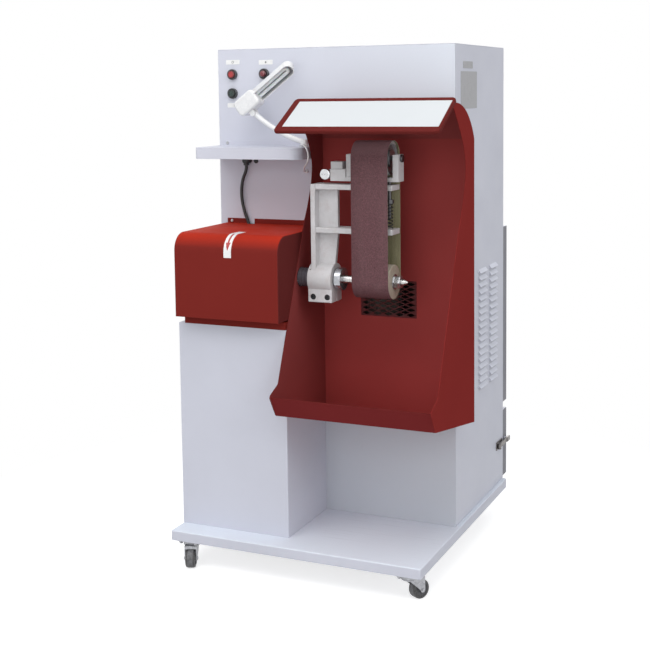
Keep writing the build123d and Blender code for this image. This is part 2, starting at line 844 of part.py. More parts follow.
# Spindle quill: flanged tube on the motor with its collar, lock nut and bearings
quill_x = (shield_x[1], left_x + clamp_inset + clamp_width + quill_collar_gap)
collar_x = (hood_left + running_gap, left_x + clamp_inset - quill_collar_gap)
lock_nut_x = (quill_x[1], quill_x[1] + quill_nut)
with BuildPart() as spindle_quill:
    rod_x((quill_x[0], quill_x[0] + quill_flange), axis_yz, quill_flange_radius)
    rod_x((quill_x[0], lock_nut_x[1]), axis_yz, quill_radius)
    rod_x(collar_x, axis_yz, quill_collar_radius)
    rod_x(lock_nut_x, axis_yz, quill_nut_radius)
    fillet(
        spindle_quill.edges().filter_by(GeomType.CIRCLE).sort_by(Axis.X)[-1:],
        sheet,
    )
    rod_x((quill_x[0], lock_nut_x[1]), axis_yz, quill_bore, mode=Mode.SUBTRACT)
    for start in (quill_x[0] + quill_flange, lock_nut_x[1] - bearing_length):
        bearing_x = (start, start + bearing_length)
        rod_x(bearing_x, axis_yz, quill_bore)
        rod_x(bearing_x, axis_yz, shaft_radius + fit_clearance, mode=Mode.SUBTRACT)
save(spindle_quill, "spindle_quill")

# Spindle shaft: rotor, shaft, wheel shoulder, thread and pointed end
shoulder_x = (belt_x[0] - shaft_shoulder, belt_x[0])
nut_x = (belt_x[1] + washer_thickness, belt_x[1] + washer_thickness + nut_thickness)
point_x = (nut_x[1] + shaft_end_radius, nut_x[1] + shaft_end_radius + shaft_point)
with BuildPart() as spindle_shaft:
    rod_x((motor_x + 2 * motor_fin, belt_x[1]), axis_yz, shaft_radius)
    rod_x(span((stack_x[0] + stack_x[1]) / 2, rotor_length), axis_yz, rotor_radius)
    rod_x(shoulder_x, axis_yz, shaft_shoulder_radius)
    rod_x((belt_x[1], point_x[0]), axis_yz, shaft_end_radius)
    with BuildSketch(Plane.YZ.offset(point_x[0])):
        with Locations(axis_yz):
            Circle(shaft_end_radius)
    with BuildSketch(Plane.YZ.offset(point_x[1])):
        with Locations(axis_yz):
            Circle(shaft_end_radius / 4)
    loft()
save(spindle_shaft, "spindle_shaft")

# Drive wheel: a solid moulded wheel on the shaft
with BuildPart() as drive_wheel:
    rod_x(belt_x, axis_yz, wheel_radius)
    rod_x(belt_x, axis_yz, shaft_radius + fit_clearance, mode=Mode.SUBTRACT)
save(drive_wheel, "drive_wheel")

with BuildPart() as spindle_nut:
    rod_x((belt_x[1], nut_x[0]), axis_yz, washer_radius)
    with BuildSketch(Plane.YZ.offset(nut_x[0])):
        with Locations(axis_yz):
            RegularPolygon(nut_across_flats / 2, 6, major_radius=False)
    extrude(amount=nut_thickness)
    rod_x((belt_x[1], nut_x[1]), axis_yz, shaft_end_radius + fit_clearance, mode=Mode.SUBTRACT)
save(spindle_nut, "spindle_nut")

# Heights on the upright arm
yoke_bar_z = (
    idler_z - wheel_radius - yoke_clear - yoke_bar,
    idler_z - wheel_radius - yoke_clear,
)
top_bar_z = (
    yoke_bar_z[0] - yoke_travel - yoke_stop_gap - bar_thickness,
    yoke_bar_z[0] - yoke_travel - yoke_stop_gap,
)
low_bar_z = (spindle_z + low_bar_rise, spindle_z + low_bar_rise + bar_thickness)
rods_x = (belt_x[0] + rod_inset, belt_x[1] - rod_inset)

# Belt arm: a casting clamped round the quill, with an upright and two bars inside the belt
clamp_x = (left_x + clamp_inset, left_x + clamp_inset + clamp_width)
clamp_y = span(spindle_y, clamp_depth)
clamp_z = (spindle_z - clamp_drop, spindle_z)
upright_x = (clamp_x[0] + upright_setback, clamp_x[0] + upright_setback + arm_flange)
web_x = (upright_x[1], upright_x[1] + web_top_width)
bolts_x = span((clamp_x[0] + clamp_x[1]) / 2, bolt_pitch)
bolt_z = spindle_z - bolt_drop
with BuildPart() as belt_arm:
    rod_x(clamp_x, axis_yz, clamp_radius)
    slab(clamp_x, clamp_y, clamp_z)
    slab(upright_x, span(spindle_y, arm_depth), (spindle_z, top_bar_z[1]))
    with BuildSketch(Plane.XZ.offset(-spindle_y - web_thickness / 2)):
        with BuildLine():
            Polyline(
                (upright_x[1], spindle_z),
                (clamp_x[1], spindle_z),
                (clamp_x[1], spindle_z + clamp_radius),
                (web_x[1], low_bar_z[0]),
                (web_x[1], top_bar_z[1]),
                (upright_x[1], top_bar_z[1]),
                close=True,
            )
        make_face()
    extrude(amount=web_thickness)
    for bar_z in (top_bar_z, low_bar_z):
        slab((upright_x[0], left_x + bar_end), span(spindle_y, bar_depth), bar_z)
    fillet(belt_arm.edges().filter_by(Axis.X).group_by(Axis.Z)[0], cast_round)
    rod_x((clamp_x[0], clamp_x[1]), axis_yz, quill_radius + fit_clearance, mode=Mode.SUBTRACT)
    slab(clamp_x, span(spindle_y, clamp_slit), clamp_z, mode=Mode.SUBTRACT)
    for x in bolts_x:
        rod_y(clamp_y, (x, bolt_z), bolt_radius + bolt_play, mode=Mode.SUBTRACT)
        rod_y(
            (clamp_y[0], clamp_y[0] + bolt_sink),
            (x, bolt_z),
            bolt_head_radius + bolt_play,
            mode=Mode.SUBTRACT,
        )
    for x in rods_x:
        rod_z(top_bar_z, (x, spindle_y), rod_radius + fit_clearance, mode=Mode.SUBTRACT)
save(belt_arm, "belt_arm")

# Clamp bolts, sunk in the block's front face
with BuildPart() as arm_bolts:
    for x in bolts_x:
        head_y = (clamp_y[0] + bolt_sink - bolt_head, clamp_y[0] + bolt_sink)
        rod_y(head_y, (x, bolt_z), bolt_head_radius)
        rod_y((head_y[1], clamp_y[1]), (x, bolt_z), bolt_radius)
        with BuildSketch(Plane.XZ.offset(-head_y[0] - bolt_head / 2)):
            with Locations((x, bolt_z)):
                RegularPolygon(bolt_radius * 0.8, 6, major_radius=False)
        extrude(amount=bolt_head / 2, mode=Mode.SUBTRACT)
save(arm_bolts, "arm_bolts")

# Sanding belt: a closed loop round both wheels
with BuildPart() as sanding_belt:
    with BuildSketch(Plane.YZ.offset(belt_x[0])):
        with Locations((spindle_y, spindle_z + idler_rise / 2)):
            SlotCenterToCenter(idler_rise, 2 * (belt_inner_radius + belt_thickness), rotation=90)
            SlotCenterToCenter(
                idler_rise,
                2 * belt_inner_radius,
                rotation=90,
                mode=Mode.SUBTRACT,
            )
    extrude(amount=belt_width)
save(sanding_belt, "sanding_belt")

# Tension yoke: a casting that slides on the arm's top bar and carries the idler
yoke_block_x = (left_x + yoke_inset, left_x + yoke_inset + yoke_block)
yoke_arm_x = (yoke_block_x[1], yoke_block_x[1] + yoke_arm)
fork_x = (belt_x[1] + yoke_fork_gap, belt_x[1] + yoke_fork_gap + yoke_fork)
yoke_block_z = (yoke_bar_z[0], yoke_bar_z[0] + yoke_block_height)
yoke_head_z = idler_z + yoke_head
ear_x = (yoke_block_x[0] - ear_width, yoke_block_x[0])
ear_z = (yoke_bar_z[0] + ear_rise, yoke_bar_z[0] + ear_rise + ear_height)
knob_at = ((ear_x[0] + ear_x[1]) / 2, (ear_z[0] + ear_z[1]) / 2)
ear_y = span(spindle_y, ear_thickness)
with BuildPart() as tension_yoke:
    slab((yoke_block_x[0], fork_x[1]), span(spindle_y, yoke_depth), yoke_bar_z)
    slab(yoke_block_x, span(spindle_y, yoke_depth), yoke_block_z)
    slab(
        (yoke_block_x[0], yoke_block_x[0] + yoke_cap_width),
        span(spindle_y, yoke_depth * 0.8),
        (yoke_block_z[1], yoke_block_z[1] + yoke_cap_height),
    )
    slab(yoke_arm_x, span(spindle_y, yoke_depth * 0.8), (yoke_bar_z[0], yoke_head_z))
    slab(fork_x, span(spindle_y, yoke_depth), (yoke_bar_z[0], yoke_head_z))
    slab(ear_x, ear_y, ear_z)
    rod_x(
        (yoke_arm_x[0], yoke_arm_x[1]),
        (spindle_y, idler_z),
        axle_radius + fit_clearance,
        mode=Mode.SUBTRACT,
    )
    rod_x(fork_x, (spindle_y, idler_z), axle_radius + fit_clearance, mode=Mode.SUBTRACT)
    slab(
        fork_x,
        span(spindle_y, 2 * (axle_radius + fit_clearance)),
        (idler_z, yoke_head_z),
        mode=Mode.SUBTRACT,
    )
    rod_y(ear_y, knob_at, knob_shank_radius + fit_clearance, mode=Mode.SUBTRACT)
save(tension_yoke, "tension_yoke")

# Yoke pins: the idler's axle and the two tension rods with their spring collars
axle_x = (yoke_arm_x[0], fork_x[1] + axle_end)
rod_collar_z = (top_bar_z[0] - rod_neck - rod_collar, top_bar_z[0] - rod_neck)
with BuildPart() as yoke_pins:
    rod_x(axle_x, (spindle_y, idler_z), axle_radius)
    rod_x((fork_x[1], axle_x[1]), (spindle_y, idler_z), axle_collar_radius)
    for x in rods_x:
        rod_z((rod_collar_z[1], yoke_bar_z[0]), (x, spindle_y), rod_radius)
        rod_z(rod_collar_z, (x, spindle_y), rod_collar_radius)
        rod_z((rod_collar_z[0] - rod_tail, rod_collar_z[0]), (x, spindle_y), rod_tail_radius)
save(yoke_pins, "yoke_pins")

# Tension springs: one wire each, wound from the lower bar up to the rod's collar
wind_z = (
    low_bar_z[1] + spring_wire_radius + spring_seat,
    rod_collar_z[0] - spring_wire_radius - spring_seat,
)
spring_pitch = (wind_z[1] - wind_z[0]) / spring_turns


def wire_point(x, turns):
    """A point on the spring's centre line after some turns."""
    angle = 2 * math.pi * turns
    return Vector(
        x + spring_radius * math.cos(angle),
        spindle_y + spring_radius * math.sin(angle),
        wind_z[0] + spring_pitch * turns,
    )


def wire_heading(turns):
    """The way the wire runs after some turns."""
    angle = 2 * math.pi * turns
    around = 2 * math.pi * spring_radius
    return Vector(-around * math.sin(angle), around * math.cos(angle), spring_pitch).normalized()


def biarc_joint(start, start_way, end, end_way):
    """Where two arcs meet that leave the start and reach the end along the given ways."""
    chord = end - start
    both = start_way + end_way
    spread = 2 * (1 - start_way.dot(end_way))
    along = chord.dot(both)
    reach = (math.sqrt(along * along + spread * chord.dot(chord)) - along) / spread
    return (start + end + (start_way - end_way) * reach) * 0.5


quarter = 0.25
print("spring gap between turns", round(spring_pitch - 2 * spring_wire_radius, 2))
with BuildPart() as tension_springs:
    for x in rods_x:
        with BuildLine() as wire:
            for step in range(int(spring_turns / quarter)):
                first, last = step * quarter, (step + 1) * quarter
                start, end = wire_point(x, first), wire_point(x, last)
                joint = biarc_joint(start, wire_heading(first), end, wire_heading(last))
                near = TangentArc(start, joint, tangent=wire_heading(first))
                TangentArc(joint, end, tangent=near % 1)
        with BuildSketch(Plane(wire_point(x, 0), z_dir=wire_heading(0))):
            Circle(spring_wire_radius)
        sweep(path=wire.wire())
save(tension_springs, "tension_springs")

# Idler wheel: turns on the axle, with a recessed hub face at each end
idler_x = (belt_x[0] + idler_margin, belt_x[1] - idler_margin)
idler_yz = (spindle_y, idler_z)
with BuildPart() as idler_wheel:
    rod_x(idler_x, idler_yz, wheel_radius)
    for face_x in (
        (idler_x[0], idler_x[0] + idler_recess),
        (idler_x[1] - idler_recess, idler_x[1]),
    ):
        rod_x(face_x, idler_yz, wheel_radius - idler_rim, mode=Mode.SUBTRACT)
        rod_x(face_x, idler_yz, wheel_radius - 3 * idler_rim)
    rod_x(idler_x, idler_yz, axle_radius + fit_clearance, mode=Mode.SUBTRACT)
save(idler_wheel, "idler_wheel")

# Tracking knob: a slotted disc whose shank turns in the yoke's ear
knob_y = (ear_y[0] - knob_gap - knob_thickness, ear_y[0] - knob_gap)
with BuildPart() as tracking_knob:
    rod_y(knob_y, knob_at, knob_radius)
    fillet(tracking_knob.edges().filter_by(GeomType.CIRCLE).group_by(Axis.Y)[0], sheet)
    slab(
        span(knob_at[0], 1.4 * knob_radius),
        (knob_y[0], knob_y[0] + knob_slot),
        span(knob_at[1], knob_slot),
        mode=Mode.SUBTRACT,
    )
    rod_y((knob_y[1], ear_y[0] - fit_clearance), knob_at, knob_hub_radius)
    rod_y((knob_y[1], ear_y[1] + knob_gap), knob_at, knob_shank_radius)
save(tracking_knob, "tracking_knob")


def hood_point(reach, height):
    """A point on the hood's side view: reach in front of the cabinet, height over the deck."""
    return (front_y - reach, deck_z + height)


# Hood outline: where the visor's underside and the roof end on each cheek
visor_turn = math.radians(visor_pitch)
visor_root = (
    visor_reach - visor_thickness * math.sin(visor_turn),
    visor_height - visor_thickness * math.cos(visor_turn),
)
visor_rest = (
    visor_root[0] + visor_seat * math.cos(visor_turn),
    visor_root[1] - visor_seat * math.sin(visor_turn),
)
roof_top = visor_root[1] - (roof_centre_reach - visor_root[0]) * math.tan(visor_turn)
roof_radius = roof_top - roof_centre_height
roof_start = math.degrees(math.acos(roof_centre_reach / roof_radius))
roof_sweep = 90 - roof_start
roof_centre = hood_point(roof_centre_reach, roof_centre_height)
roof_foot = roof_centre_height + (roof_radius - sheet) * math.sin(math.radians(roof_start))


def cheek_outline(x):
    """The side plate's outline on the plane at x."""
    with BuildSketch(Plane.YZ.offset(x)) as outline:
        with BuildLine():
            roof = CenterArc(roof_centre, roof_radius, roof_start, roof_sweep)
            seat = Line(roof @ 1, hood_point(*visor_rest))
            throat = Spline(
                seat @ 1,
                hood_point(*throat_high),
                hood_point(*throat_deep),
                hood_point(*throat_low),
                hood_point(shoulder_reach, shoulder_height),
            )
            front = FilletPolyline(
                throat @ 1,
                hood_point(knee_reach, knee_height),
                hood_point(nose_reach, lip_top),
                hood_point(lip_reach, lip_bottom),
                hood_point(0, hood_bottom),
                radius=[knee_round, nose_round, nose_round],
            )
            Line(front @ 1, roof @ 0)
        make_face()
    return outline.sketch


with BuildPart() as hood_left_cheek:
    extrude(cheek_outline(pedestal_x), amount=sheet)
    rod_x((pedestal_x, hood_left), axis_yz, quill_radius + sheet, mode=Mode.SUBTRACT)
save(hood_left_cheek, "hood_left_cheek")

with BuildPart() as hood_right_cheek:
    extrude(cheek_outline(hood_right - sheet), amount=sheet)
save(hood_right_cheek, "hood_right_cheek")


def strip(start, end):
    """A sheet's cross section between two bend points, laid on the inner side."""
    run = (end[0] - start[0], end[1] - start[1])
    length = math.hypot(*run)
    inward = (run[1] / length * sheet, -run[0] / length * sheet)
    return (
        start,
        end,
        (end[0] + inward[0], end[1] + inward[1]),
        (start[0] + inward[0], start[1] + inward[1]),
    )


# Hood pan: back, sloping floor and lip folded from one sheet between the cheeks
hood_x = (hood_left, hood_right - sheet)
hood_bends = (
    hood_point(0, roof_foot - fit_clearance),
    hood_point(0, hood_bottom),
    hood_point(lip_reach, lip_bottom),
    hood_point(nose_reach - nose_round, lip_top - nose_round / 2),
)
with BuildPart() as hood_pan:
    with BuildSketch(Plane.YZ.offset(hood_x[0])):
        for start, end in zip(hood_bends, hood_bends[1:]):
            Polygon(*strip(start, end), align=None)
    extrude(amount=hood_x[1] - hood_x[0])
    slab(suction_x, (front_y - sheet, front_y), suction_z, mode=Mode.SUBTRACT)
    slab(hood_x, (front_y, back_y), (deck_z, top_z), mode=Mode.SUBTRACT)
save(hood_pan, "hood_pan")

# Hood roof: a curved sheet from the cabinet up to the visor, which rests on its top
with BuildPart() as hood_roof:
    with BuildSketch(Plane.YZ.offset(hood_x[0])):
        with BuildLine():
            outer = CenterArc(roof_centre, roof_radius, roof_start, roof_sweep)
            inner = CenterArc(roof_centre, roof_radius - sheet, roof_start, roof_sweep)
            Line(outer @ 0, inner @ 0)
            Line(outer @ 1, inner @ 1)
        make_face()
    extrude(amount=hood_x[1] - hood_x[0])
save(hood_roof, "hood_roof")

# Visor: a sloping frame on top of the cheeks with a white panel let into it
visor_x = (pedestal_x - visor_overhang, hood_right)
visor_width = visor_x[1] - visor_x[0]
visor_plane = Plane(
    (sum(visor_x) / 2, *hood_point(visor_reach, visor_height)),
    x_dir=(1, 0, 0),
    z_dir=(0, -math.sin(visor_turn), math.cos(visor_turn)),
)
pocket_width = visor_width - visor_left_border - visor_right_border
pocket_length = visor_length - visor_top_border - visor_low_border
pocket_at = ((visor_left_border - visor_right_border) / 2, -visor_top_border - pocket_length / 2)
with BuildPart() as visor_frame:
    with BuildSketch(visor_plane):
        with Locations((0, -visor_length / 2)):
            RectangleRounded(visor_width, visor_length, visor_corner)
    extrude(amount=-visor_thickness)
    with BuildSketch(visor_plane):
        with Locations(pocket_at):
            Rectangle(pocket_width, pocket_length)
    extrude(amount=-visor_panel_thickness, mode=Mode.SUBTRACT)
    with BuildSketch(visor_plane):
        with Locations(pocket_at):
            Rectangle(pocket_width - 2 * visor_ledge, pocket_length - 2 * visor_ledge)
    extrude(amount=-visor_thickness, mode=Mode.SUBTRACT)
save(visor_frame, "visor_frame")

with BuildPart() as visor_panel:
    with BuildSketch(visor_plane):
        with Locations(pocket_at):
            Rectangle(pocket_width - 2 * running_gap, pocket_length - 2 * running_gap)
    extrude(amount=-visor_panel_thickness)
save(visor_panel, "visor_panel")

# Suction grille: expanded metal over the opening in the hood's back
with BuildPart() as suction_grille:
    with BuildSketch(Plane.XZ.offset(-front_y + sheet)):
        with Locations((sum(grille_x) / 2, sum(grille_z) / 2)):
            Rectangle(*grille_size)
            columns = round(grille_size[0] / mesh_pitch[0])
            rows = round(grille_size[1] / mesh_pitch[1])
            for fewer in (0, 1):
                with GridLocations(*mesh_pitch, columns - fewer, rows - fewer):
                    Polygon(
                        (mesh_hole[0] / 2, 0),
                        (0, mesh_hole[1] / 2),
                        (-mesh_hole[0] / 2, 0),
                        (0, -mesh_hole[1] / 2),
                        mode=Mode.SUBTRACT,
                    )
    extrude(amount=grille_sheet)
save(suction_grille, "suction_grille")

# Tool shelf: a folded tray upside down, with an upturned flange at the back
shelf_z = (shelf_top - shelf_drop, shelf_top)
with BuildPart() as tool_shelf:
    slab(shelf_x, (front_y - shelf_reach, front_y), shelf_z)
    corners = tool_shelf.edges().filter_by(Axis.Z).group_by(Axis.Y)[0].sort_by(Axis.X)
    fillet(corners[0], shelf_left_corner)
    fillet(corners[1], shelf_corner)
    offset(amount=-sheet, openings=tool_shelf.faces().sort_by(Axis.Z)[0])
    slab(
        (shelf_x[0] + flange, shelf_x[1] - flange),
        (front_y - sheet, front_y),
        (shelf_top - sheet, shelf_top + shelf_flange),
    )
    for centre in screws_at[2:]:
        rod_y((front_y - sheet, front_y), centre, screw_radius + fit_clearance, mode=Mode.SUBTRACT)
save(tool_shelf, "tool_shelf")

# Screws of the shelf's and the cover's flanges
with BuildPart() as panel_screws:
    for centre in screws_at:
        rod_y((front_y - sheet - screw_head, front_y - sheet), centre, screw_head_radius)
        rod_y((front_y - sheet, front_y + 2 * sheet), centre, screw_radius)
save(panel_screws, "panel_screws")

# Bezels with their bushings, lock nuts and contact blocks
bezel_y = (front_y - bezel_depth, front_y)
bushing_y = (front_y, front_y + bushing_depth)
block_y = (bushing_y[1], bushing_y[1] + contact_block[2])
cap_bore = button_radius + button_play
with BuildPart() as button_bezels:
    for centre in (stop_at, pilot_at, start_at):
        rod_y(bezel_y, centre, bezel_radius)
        rod_y(bushing_y, centre, bushing_radius)
        rod_y((bezel_y[0], bushing_y[1]), centre, cap_bore, mode=Mode.SUBTRACT)
        slab(
            span(centre[0], contact_block[0]),
            block_y,
            span(centre[1], contact_block[1]),
        )
save(button_bezels, "button_bezels")


def push_button(centre):
    """A round cap that slides in its bezel and stops short of the contact block."""
    rod_y((front_y - button_proud, bushing_y[1] - button_travel - button_play), centre, button_radius)


with BuildPart() as stop_button:
    push_button(stop_at)
    fillet(stop_button.edges().filter_by(GeomType.CIRCLE).group_by(Axis.Y)[0], sheet)
save(stop_button, "stop_button")

with BuildPart() as start_button:
    push_button(start_at)
    fillet(start_button.edges().filter_by(GeomType.CIRCLE).group_by(Axis.Y)[0], sheet)
save(start_button, "start_button")

with BuildPart() as pilot_lens:
    rod_y((front_y - lens_proud, bushing_y[1]), pilot_at, button_radius)
    fillet(pilot_lens.edges().filter_by(GeomType.CIRCLE).group_by(Axis.Y)[0], button_radius * 0.8)
save(pilot_lens, "pilot_lens")

# Lamp base: a foot on the shelf with the swivel pin and a lead nipple
lamp_y = front_y - lamp_reach
lamp_lug_gap = lamp_arm_radius + lamp_lug_side
lamp_xy = (left_x + lamp_inset, lamp_y)
lamp_foot_z = (shelf_top, shelf_top + lamp_base_height)
socket_z = (lamp_foot_z[1] + running_gap, lamp_foot_z[1] + running_gap + lamp_socket_height)
pivot_xz = (left_x + lamp_pivot[0], deck_z + lamp_pivot[1])
nipple_y = (lamp_y - lamp_nipple_reach, lamp_y - lamp_socket_radius - sheet)
with BuildPart() as lamp_base:
    rod_z(lamp_foot_z, lamp_xy, lamp_base_radius)
    rod_z((lamp_foot_z[0], socket_z[1]), lamp_xy, lamp_pin_radius)
    slab(
        span(lamp_xy[0], lamp_nipple_width),
        nipple_y,
        (shelf_top, shelf_top + lamp_nipple_height),
    )
save(lamp_base, "lamp_base")

# Lamp arm: a bowed tube from its swivel socket to the head's knuckle
with BuildPart() as lamp_arm:
    with BuildLine() as bow:
        ThreePointArc(
            (lamp_xy[0], lamp_y, sum(socket_z) / 2),
            (left_x + lamp_arm_middle[0], lamp_y, deck_z + lamp_arm_middle[1]),
            (pivot_xz[0], lamp_y, pivot_xz[1]),
        )
    with BuildSketch(Plane(bow.edges()[0] @ 0, z_dir=bow.edges()[0] % 0)):
        Circle(lamp_arm_radius)
    sweep(path=bow.wire())
    rod_z(socket_z, lamp_xy, lamp_socket_radius)
    rod_y(span(lamp_y, 2 * (lamp_lug_gap - running_gap)), pivot_xz, lamp_lug_radius)
    rod_y(span(lamp_y, 2 * (lamp_lug_gap + lamp_lug)), pivot_xz, lamp_lug_radius / 3)
    rod_z(socket_z, lamp_xy, lamp_pin_radius + fit_clearance, mode=Mode.SUBTRACT)
save(lamp_arm, "lamp_arm")

# Lamp head: a rounded body with a trough-shaped shade that is rolled to face the belt
head_turn = math.radians(lamp_head_tilt)
head_plane = Plane(
    (left_x + lamp_head_middle[0], lamp_y, deck_z + lamp_head_middle[1]),
    x_dir=(math.cos(head_turn), 0, math.sin(head_turn)),
    z_dir=(0, -1, 0),
)
shade_plane = Plane(
    head_plane.origin,
    x_dir=head_plane.x_dir,
    z_dir=head_plane.z_dir.rotate(Axis((0, 0, 0), head_plane.x_dir), lamp_shade_roll),
)
body_length, body_width, body_depth = lamp_head_size
shade_end = lamp_shade_length - lamp_shade_width / 2
lug_local = head_plane.to_local_coords(Vector(pivot_xz[0], lamp_y, pivot_xz[1]))
lug_at = (lug_local.X, lug_local.Y)


def shade_outline(inset, depth):
    """The shade's long outline with its round end, on a plane at some depth."""
    with BuildSketch(shade_plane.offset(depth)) as outline:
        width = lamp_shade_width - 2 * inset
        start = body_length / 2 - (lamp_head_round if inset == 0 else 0)
        with Locations(((start + shade_end) / 2, 0)):
            Rectangle(shade_end - start, width)
        with Locations((shade_end, 0)):
            Circle(width / 2)
    return outline.sketch


with BuildPart() as lamp_head:
    with BuildSketch(head_plane.offset(-body_depth / 2)):
        RectangleRounded(body_length, body_width, lamp_head_round)
    extrude(amount=body_depth)
    fillet(lamp_head.faces().sort_by(Axis.Y)[0].edges(), lamp_head_round / 2)
    fillet(lamp_head.faces().sort_by(Axis.Y)[-1].edges(), lamp_head_round / 2)
    extrude(shade_outline(0, -lamp_shade_depth / 2), amount=lamp_shade_depth)
    extrude(
        shade_outline(sheet, sheet - lamp_shade_depth / 2),
        amount=lamp_shade_depth,
        mode=Mode.SUBTRACT,
    )
    for lug_depth in (lamp_lug_gap, -lamp_lug_gap - lamp_lug):
        with BuildSketch(head_plane.offset(lug_depth)):
            with Locations(lug_at):
                Circle(lamp_lug_radius)
            with Locations((lug_at[0], (lug_at[1] - body_width / 2) / 2 + sheet)):
                Rectangle(2 * lamp_lug_radius, -lug_at[1] - body_width / 2 + 2 * sheet)
            with Locations(lug_at):
                Circle(lamp_lug_radius / 3 + fit_clearance, mode=Mode.SUBTRACT)
        extrude(amount=lamp_lug)
save(lamp_head, "lamp_head")

# Lamp tube: a twin tube in the shade
tube_start = body_length / 2
tube_half = lamp_tube_pitch / 2
with BuildPart() as lamp_tube:
    with BuildLine(shade_plane) as legs:
        near = Line((tube_start, tube_half), (lamp_tube_end, tube_half))
        bend = TangentArc(near @ 1, (lamp_tube_end, -tube_half), tangent=near % 1)
        Line(bend @ 1, (tube_start, -tube_half))
    with BuildSketch(Plane(legs.wire() @ 0, z_dir=legs.wire() % 0)):
        Circle(lamp_tube_radius)
    sweep(path=legs.wire())
save(lamp_tube, "lamp_tube")

# Filter door: a deep folded pan hinged at the back's left edge, with a bow handle
door_y = (back_y, back_y + door_depth)


def bow_handle(x, z, along_z):
    """A round bow on two posts behind the door depth, across X or along Z."""
    bar_y = door_y[1] + handle_reach - handle_radius
    half = handle_width / 2
    for end in (-half, half):
        foot = (x, z + end) if along_z else (x + end, z)
        rod_y((door_y[1] - sheet, bar_y), foot, handle_post_radius)
    if along_z:
        rod_z((z - half - handle_radius, z + half + handle_radius), (x, bar_y), handle_radius)
    else:
        rod_x((x - half - handle_radius, x + half + handle_radius), (bar_y, z), handle_radius)


with BuildPart() as filter_door:
    slab(door_x, door_y, door_z)
    slab(
        (door_x[0] + sheet, door_x[1] - sheet),
        (door_y[0], door_y[1] - sheet),
        (door_z[0] + sheet, door_z[1] - sheet),
        mode=Mode.SUBTRACT,
    )
    bow_handle(door_x[1] - handle_inset, sum(door_z) / 2, True)
    for middle in hinges_z:
        high_half = (middle + running_gap, middle + hinge_height)
        rod_z(high_half, hinge_at, hinge_radius)
        slab((hinge_at[0], door_x[0] + sheet), span(hinge_at[1], hinge_radius), high_half)
        rod_z(high_half, hinge_at, hinge_pin_radius + fit_clearance, mode=Mode.SUBTRACT)
save(filter_door, "filter_door")

# Dust drawer: a folded front with its keeper and handle, and an open box behind it
drawer_front_z = (deck_z + drawer_front_bottom, deck_z + drawer_front_top)
latch_z = deck_z + latch_height
with BuildPart() as dust_drawer:
    slab((left_x, right_x), door_y, drawer_front_z)
    slab(
        (left_x + sheet, right_x - sheet),
        (door_y[0], door_y[1] - sheet),
        (drawer_front_z[0] + sheet, drawer_front_z[1] - sheet),
        mode=Mode.SUBTRACT,
    )
    slab(drawer_x, (front_y + drawer_end, door_y[1]), drawer_z)
    slab(
        (drawer_x[0] + sheet, drawer_x[1] - sheet),
        (front_y + drawer_end + sheet, door_y[1] - sheet),
        (drawer_z[0] + sheet, drawer_z[1]),
        mode=Mode.SUBTRACT,
    )
    bow_handle((left_x + right_x) / 2, sum(drawer_front_z) / 2, False)
    slab(
        (right_x - sheet, right_x + latch_keeper),
        span(sum(door_y) / 2, latch_lever_width),
        span(latch_z, latch_lever_width),
    )
save(dust_drawer, "dust_drawer")

# Draw latch: a plate with a pivot on the cabinet side, and a lever that reaches the drawer front
latch_plate_y = (back_y - latch_plate_inset, back_y - latch_plate_inset + latch_plate[0])
pivot_xy = (right_x + latch_gap + latch_lever_thickness / 2 + sheet, back_y - latch_pivot_inset)
lever_z = span(latch_z, latch_lever_width)
knuckle_radius = latch_pin_radius + sheet
ears_z = (
    (lever_z[0] - running_gap - sheet, lever_z[0] - running_gap),
    (lever_z[1] + running_gap, lever_z[1] + running_gap + sheet),
)
with BuildPart() as latch_base:
    slab((right_x, right_x + sheet), latch_plate_y, span(latch_z, latch_plate[1]))
    for ear in ears_z:
        slab((right_x, pivot_xy[0] + knuckle_radius), span(pivot_xy[1], 2 * knuckle_radius), ear)
    rod_z((ears_z[0][0], ears_z[1][1]), pivot_xy, latch_pin_radius)
save(latch_base, "latch_base")

lever_x = span(pivot_xy[0], latch_lever_thickness)
lever_end = back_y + latch_lever_reach
with BuildPart() as latch_lever:
    slab(lever_x, (pivot_xy[1], lever_end), lever_z)
    slab((lever_x[0], lever_x[1] + sheet), (lever_end - latch_grip, lever_end), lever_z)
    rod_z(lever_z, pivot_xy, knuckle_radius)
    rod_z(lever_z, pivot_xy, latch_pin_radius + fit_clearance, mode=Mode.SUBTRACT)
save(latch_lever, "latch_lever")

# Filter bags: closed cloth tubes under the bag plate
bag_z = (bag_plate_z[0] - bag_length, bag_plate_z[0])
with BuildPart() as filter_bags:
    for centre in bags_at:
        rod_z(bag_z, centre, bag_radius)
        rod_z(
            (bag_z[0] + bag_cloth, bag_z[1] - bag_cloth),
            centre,
            bag_radius - bag_cloth,
            mode=Mode.SUBTRACT,
        )
save(filter_bags, "filter_bags")

# Fan housing: a scroll on the bag plate with its outlet down, its foot and its motor
motor_y = (fan_y[1], fan_y[1] + fan_motor_length)
outlet_z = (bag_plate_z[1], fan_at[1])
foot_x = (2 * fan_at[0] - outlet_x[1], 2 * fan_at[0] - outlet_x[1] + runner_width)


def scroll_outline(inset, plane_y):
    """The scroll's outline with its outlet, pulled in by an inset."""
    with BuildSketch(Plane.XZ.offset(-plane_y)) as outline:
        with Locations(fan_at):
            Circle(fan_radius - inset)
        with Locations((sum(outlet_x) / 2, sum(outlet_z) / 2)):
            Rectangle(outlet_x[1] - outlet_x[0] - 2 * inset, outlet_z[1] - outlet_z[0])
    return outline.sketch


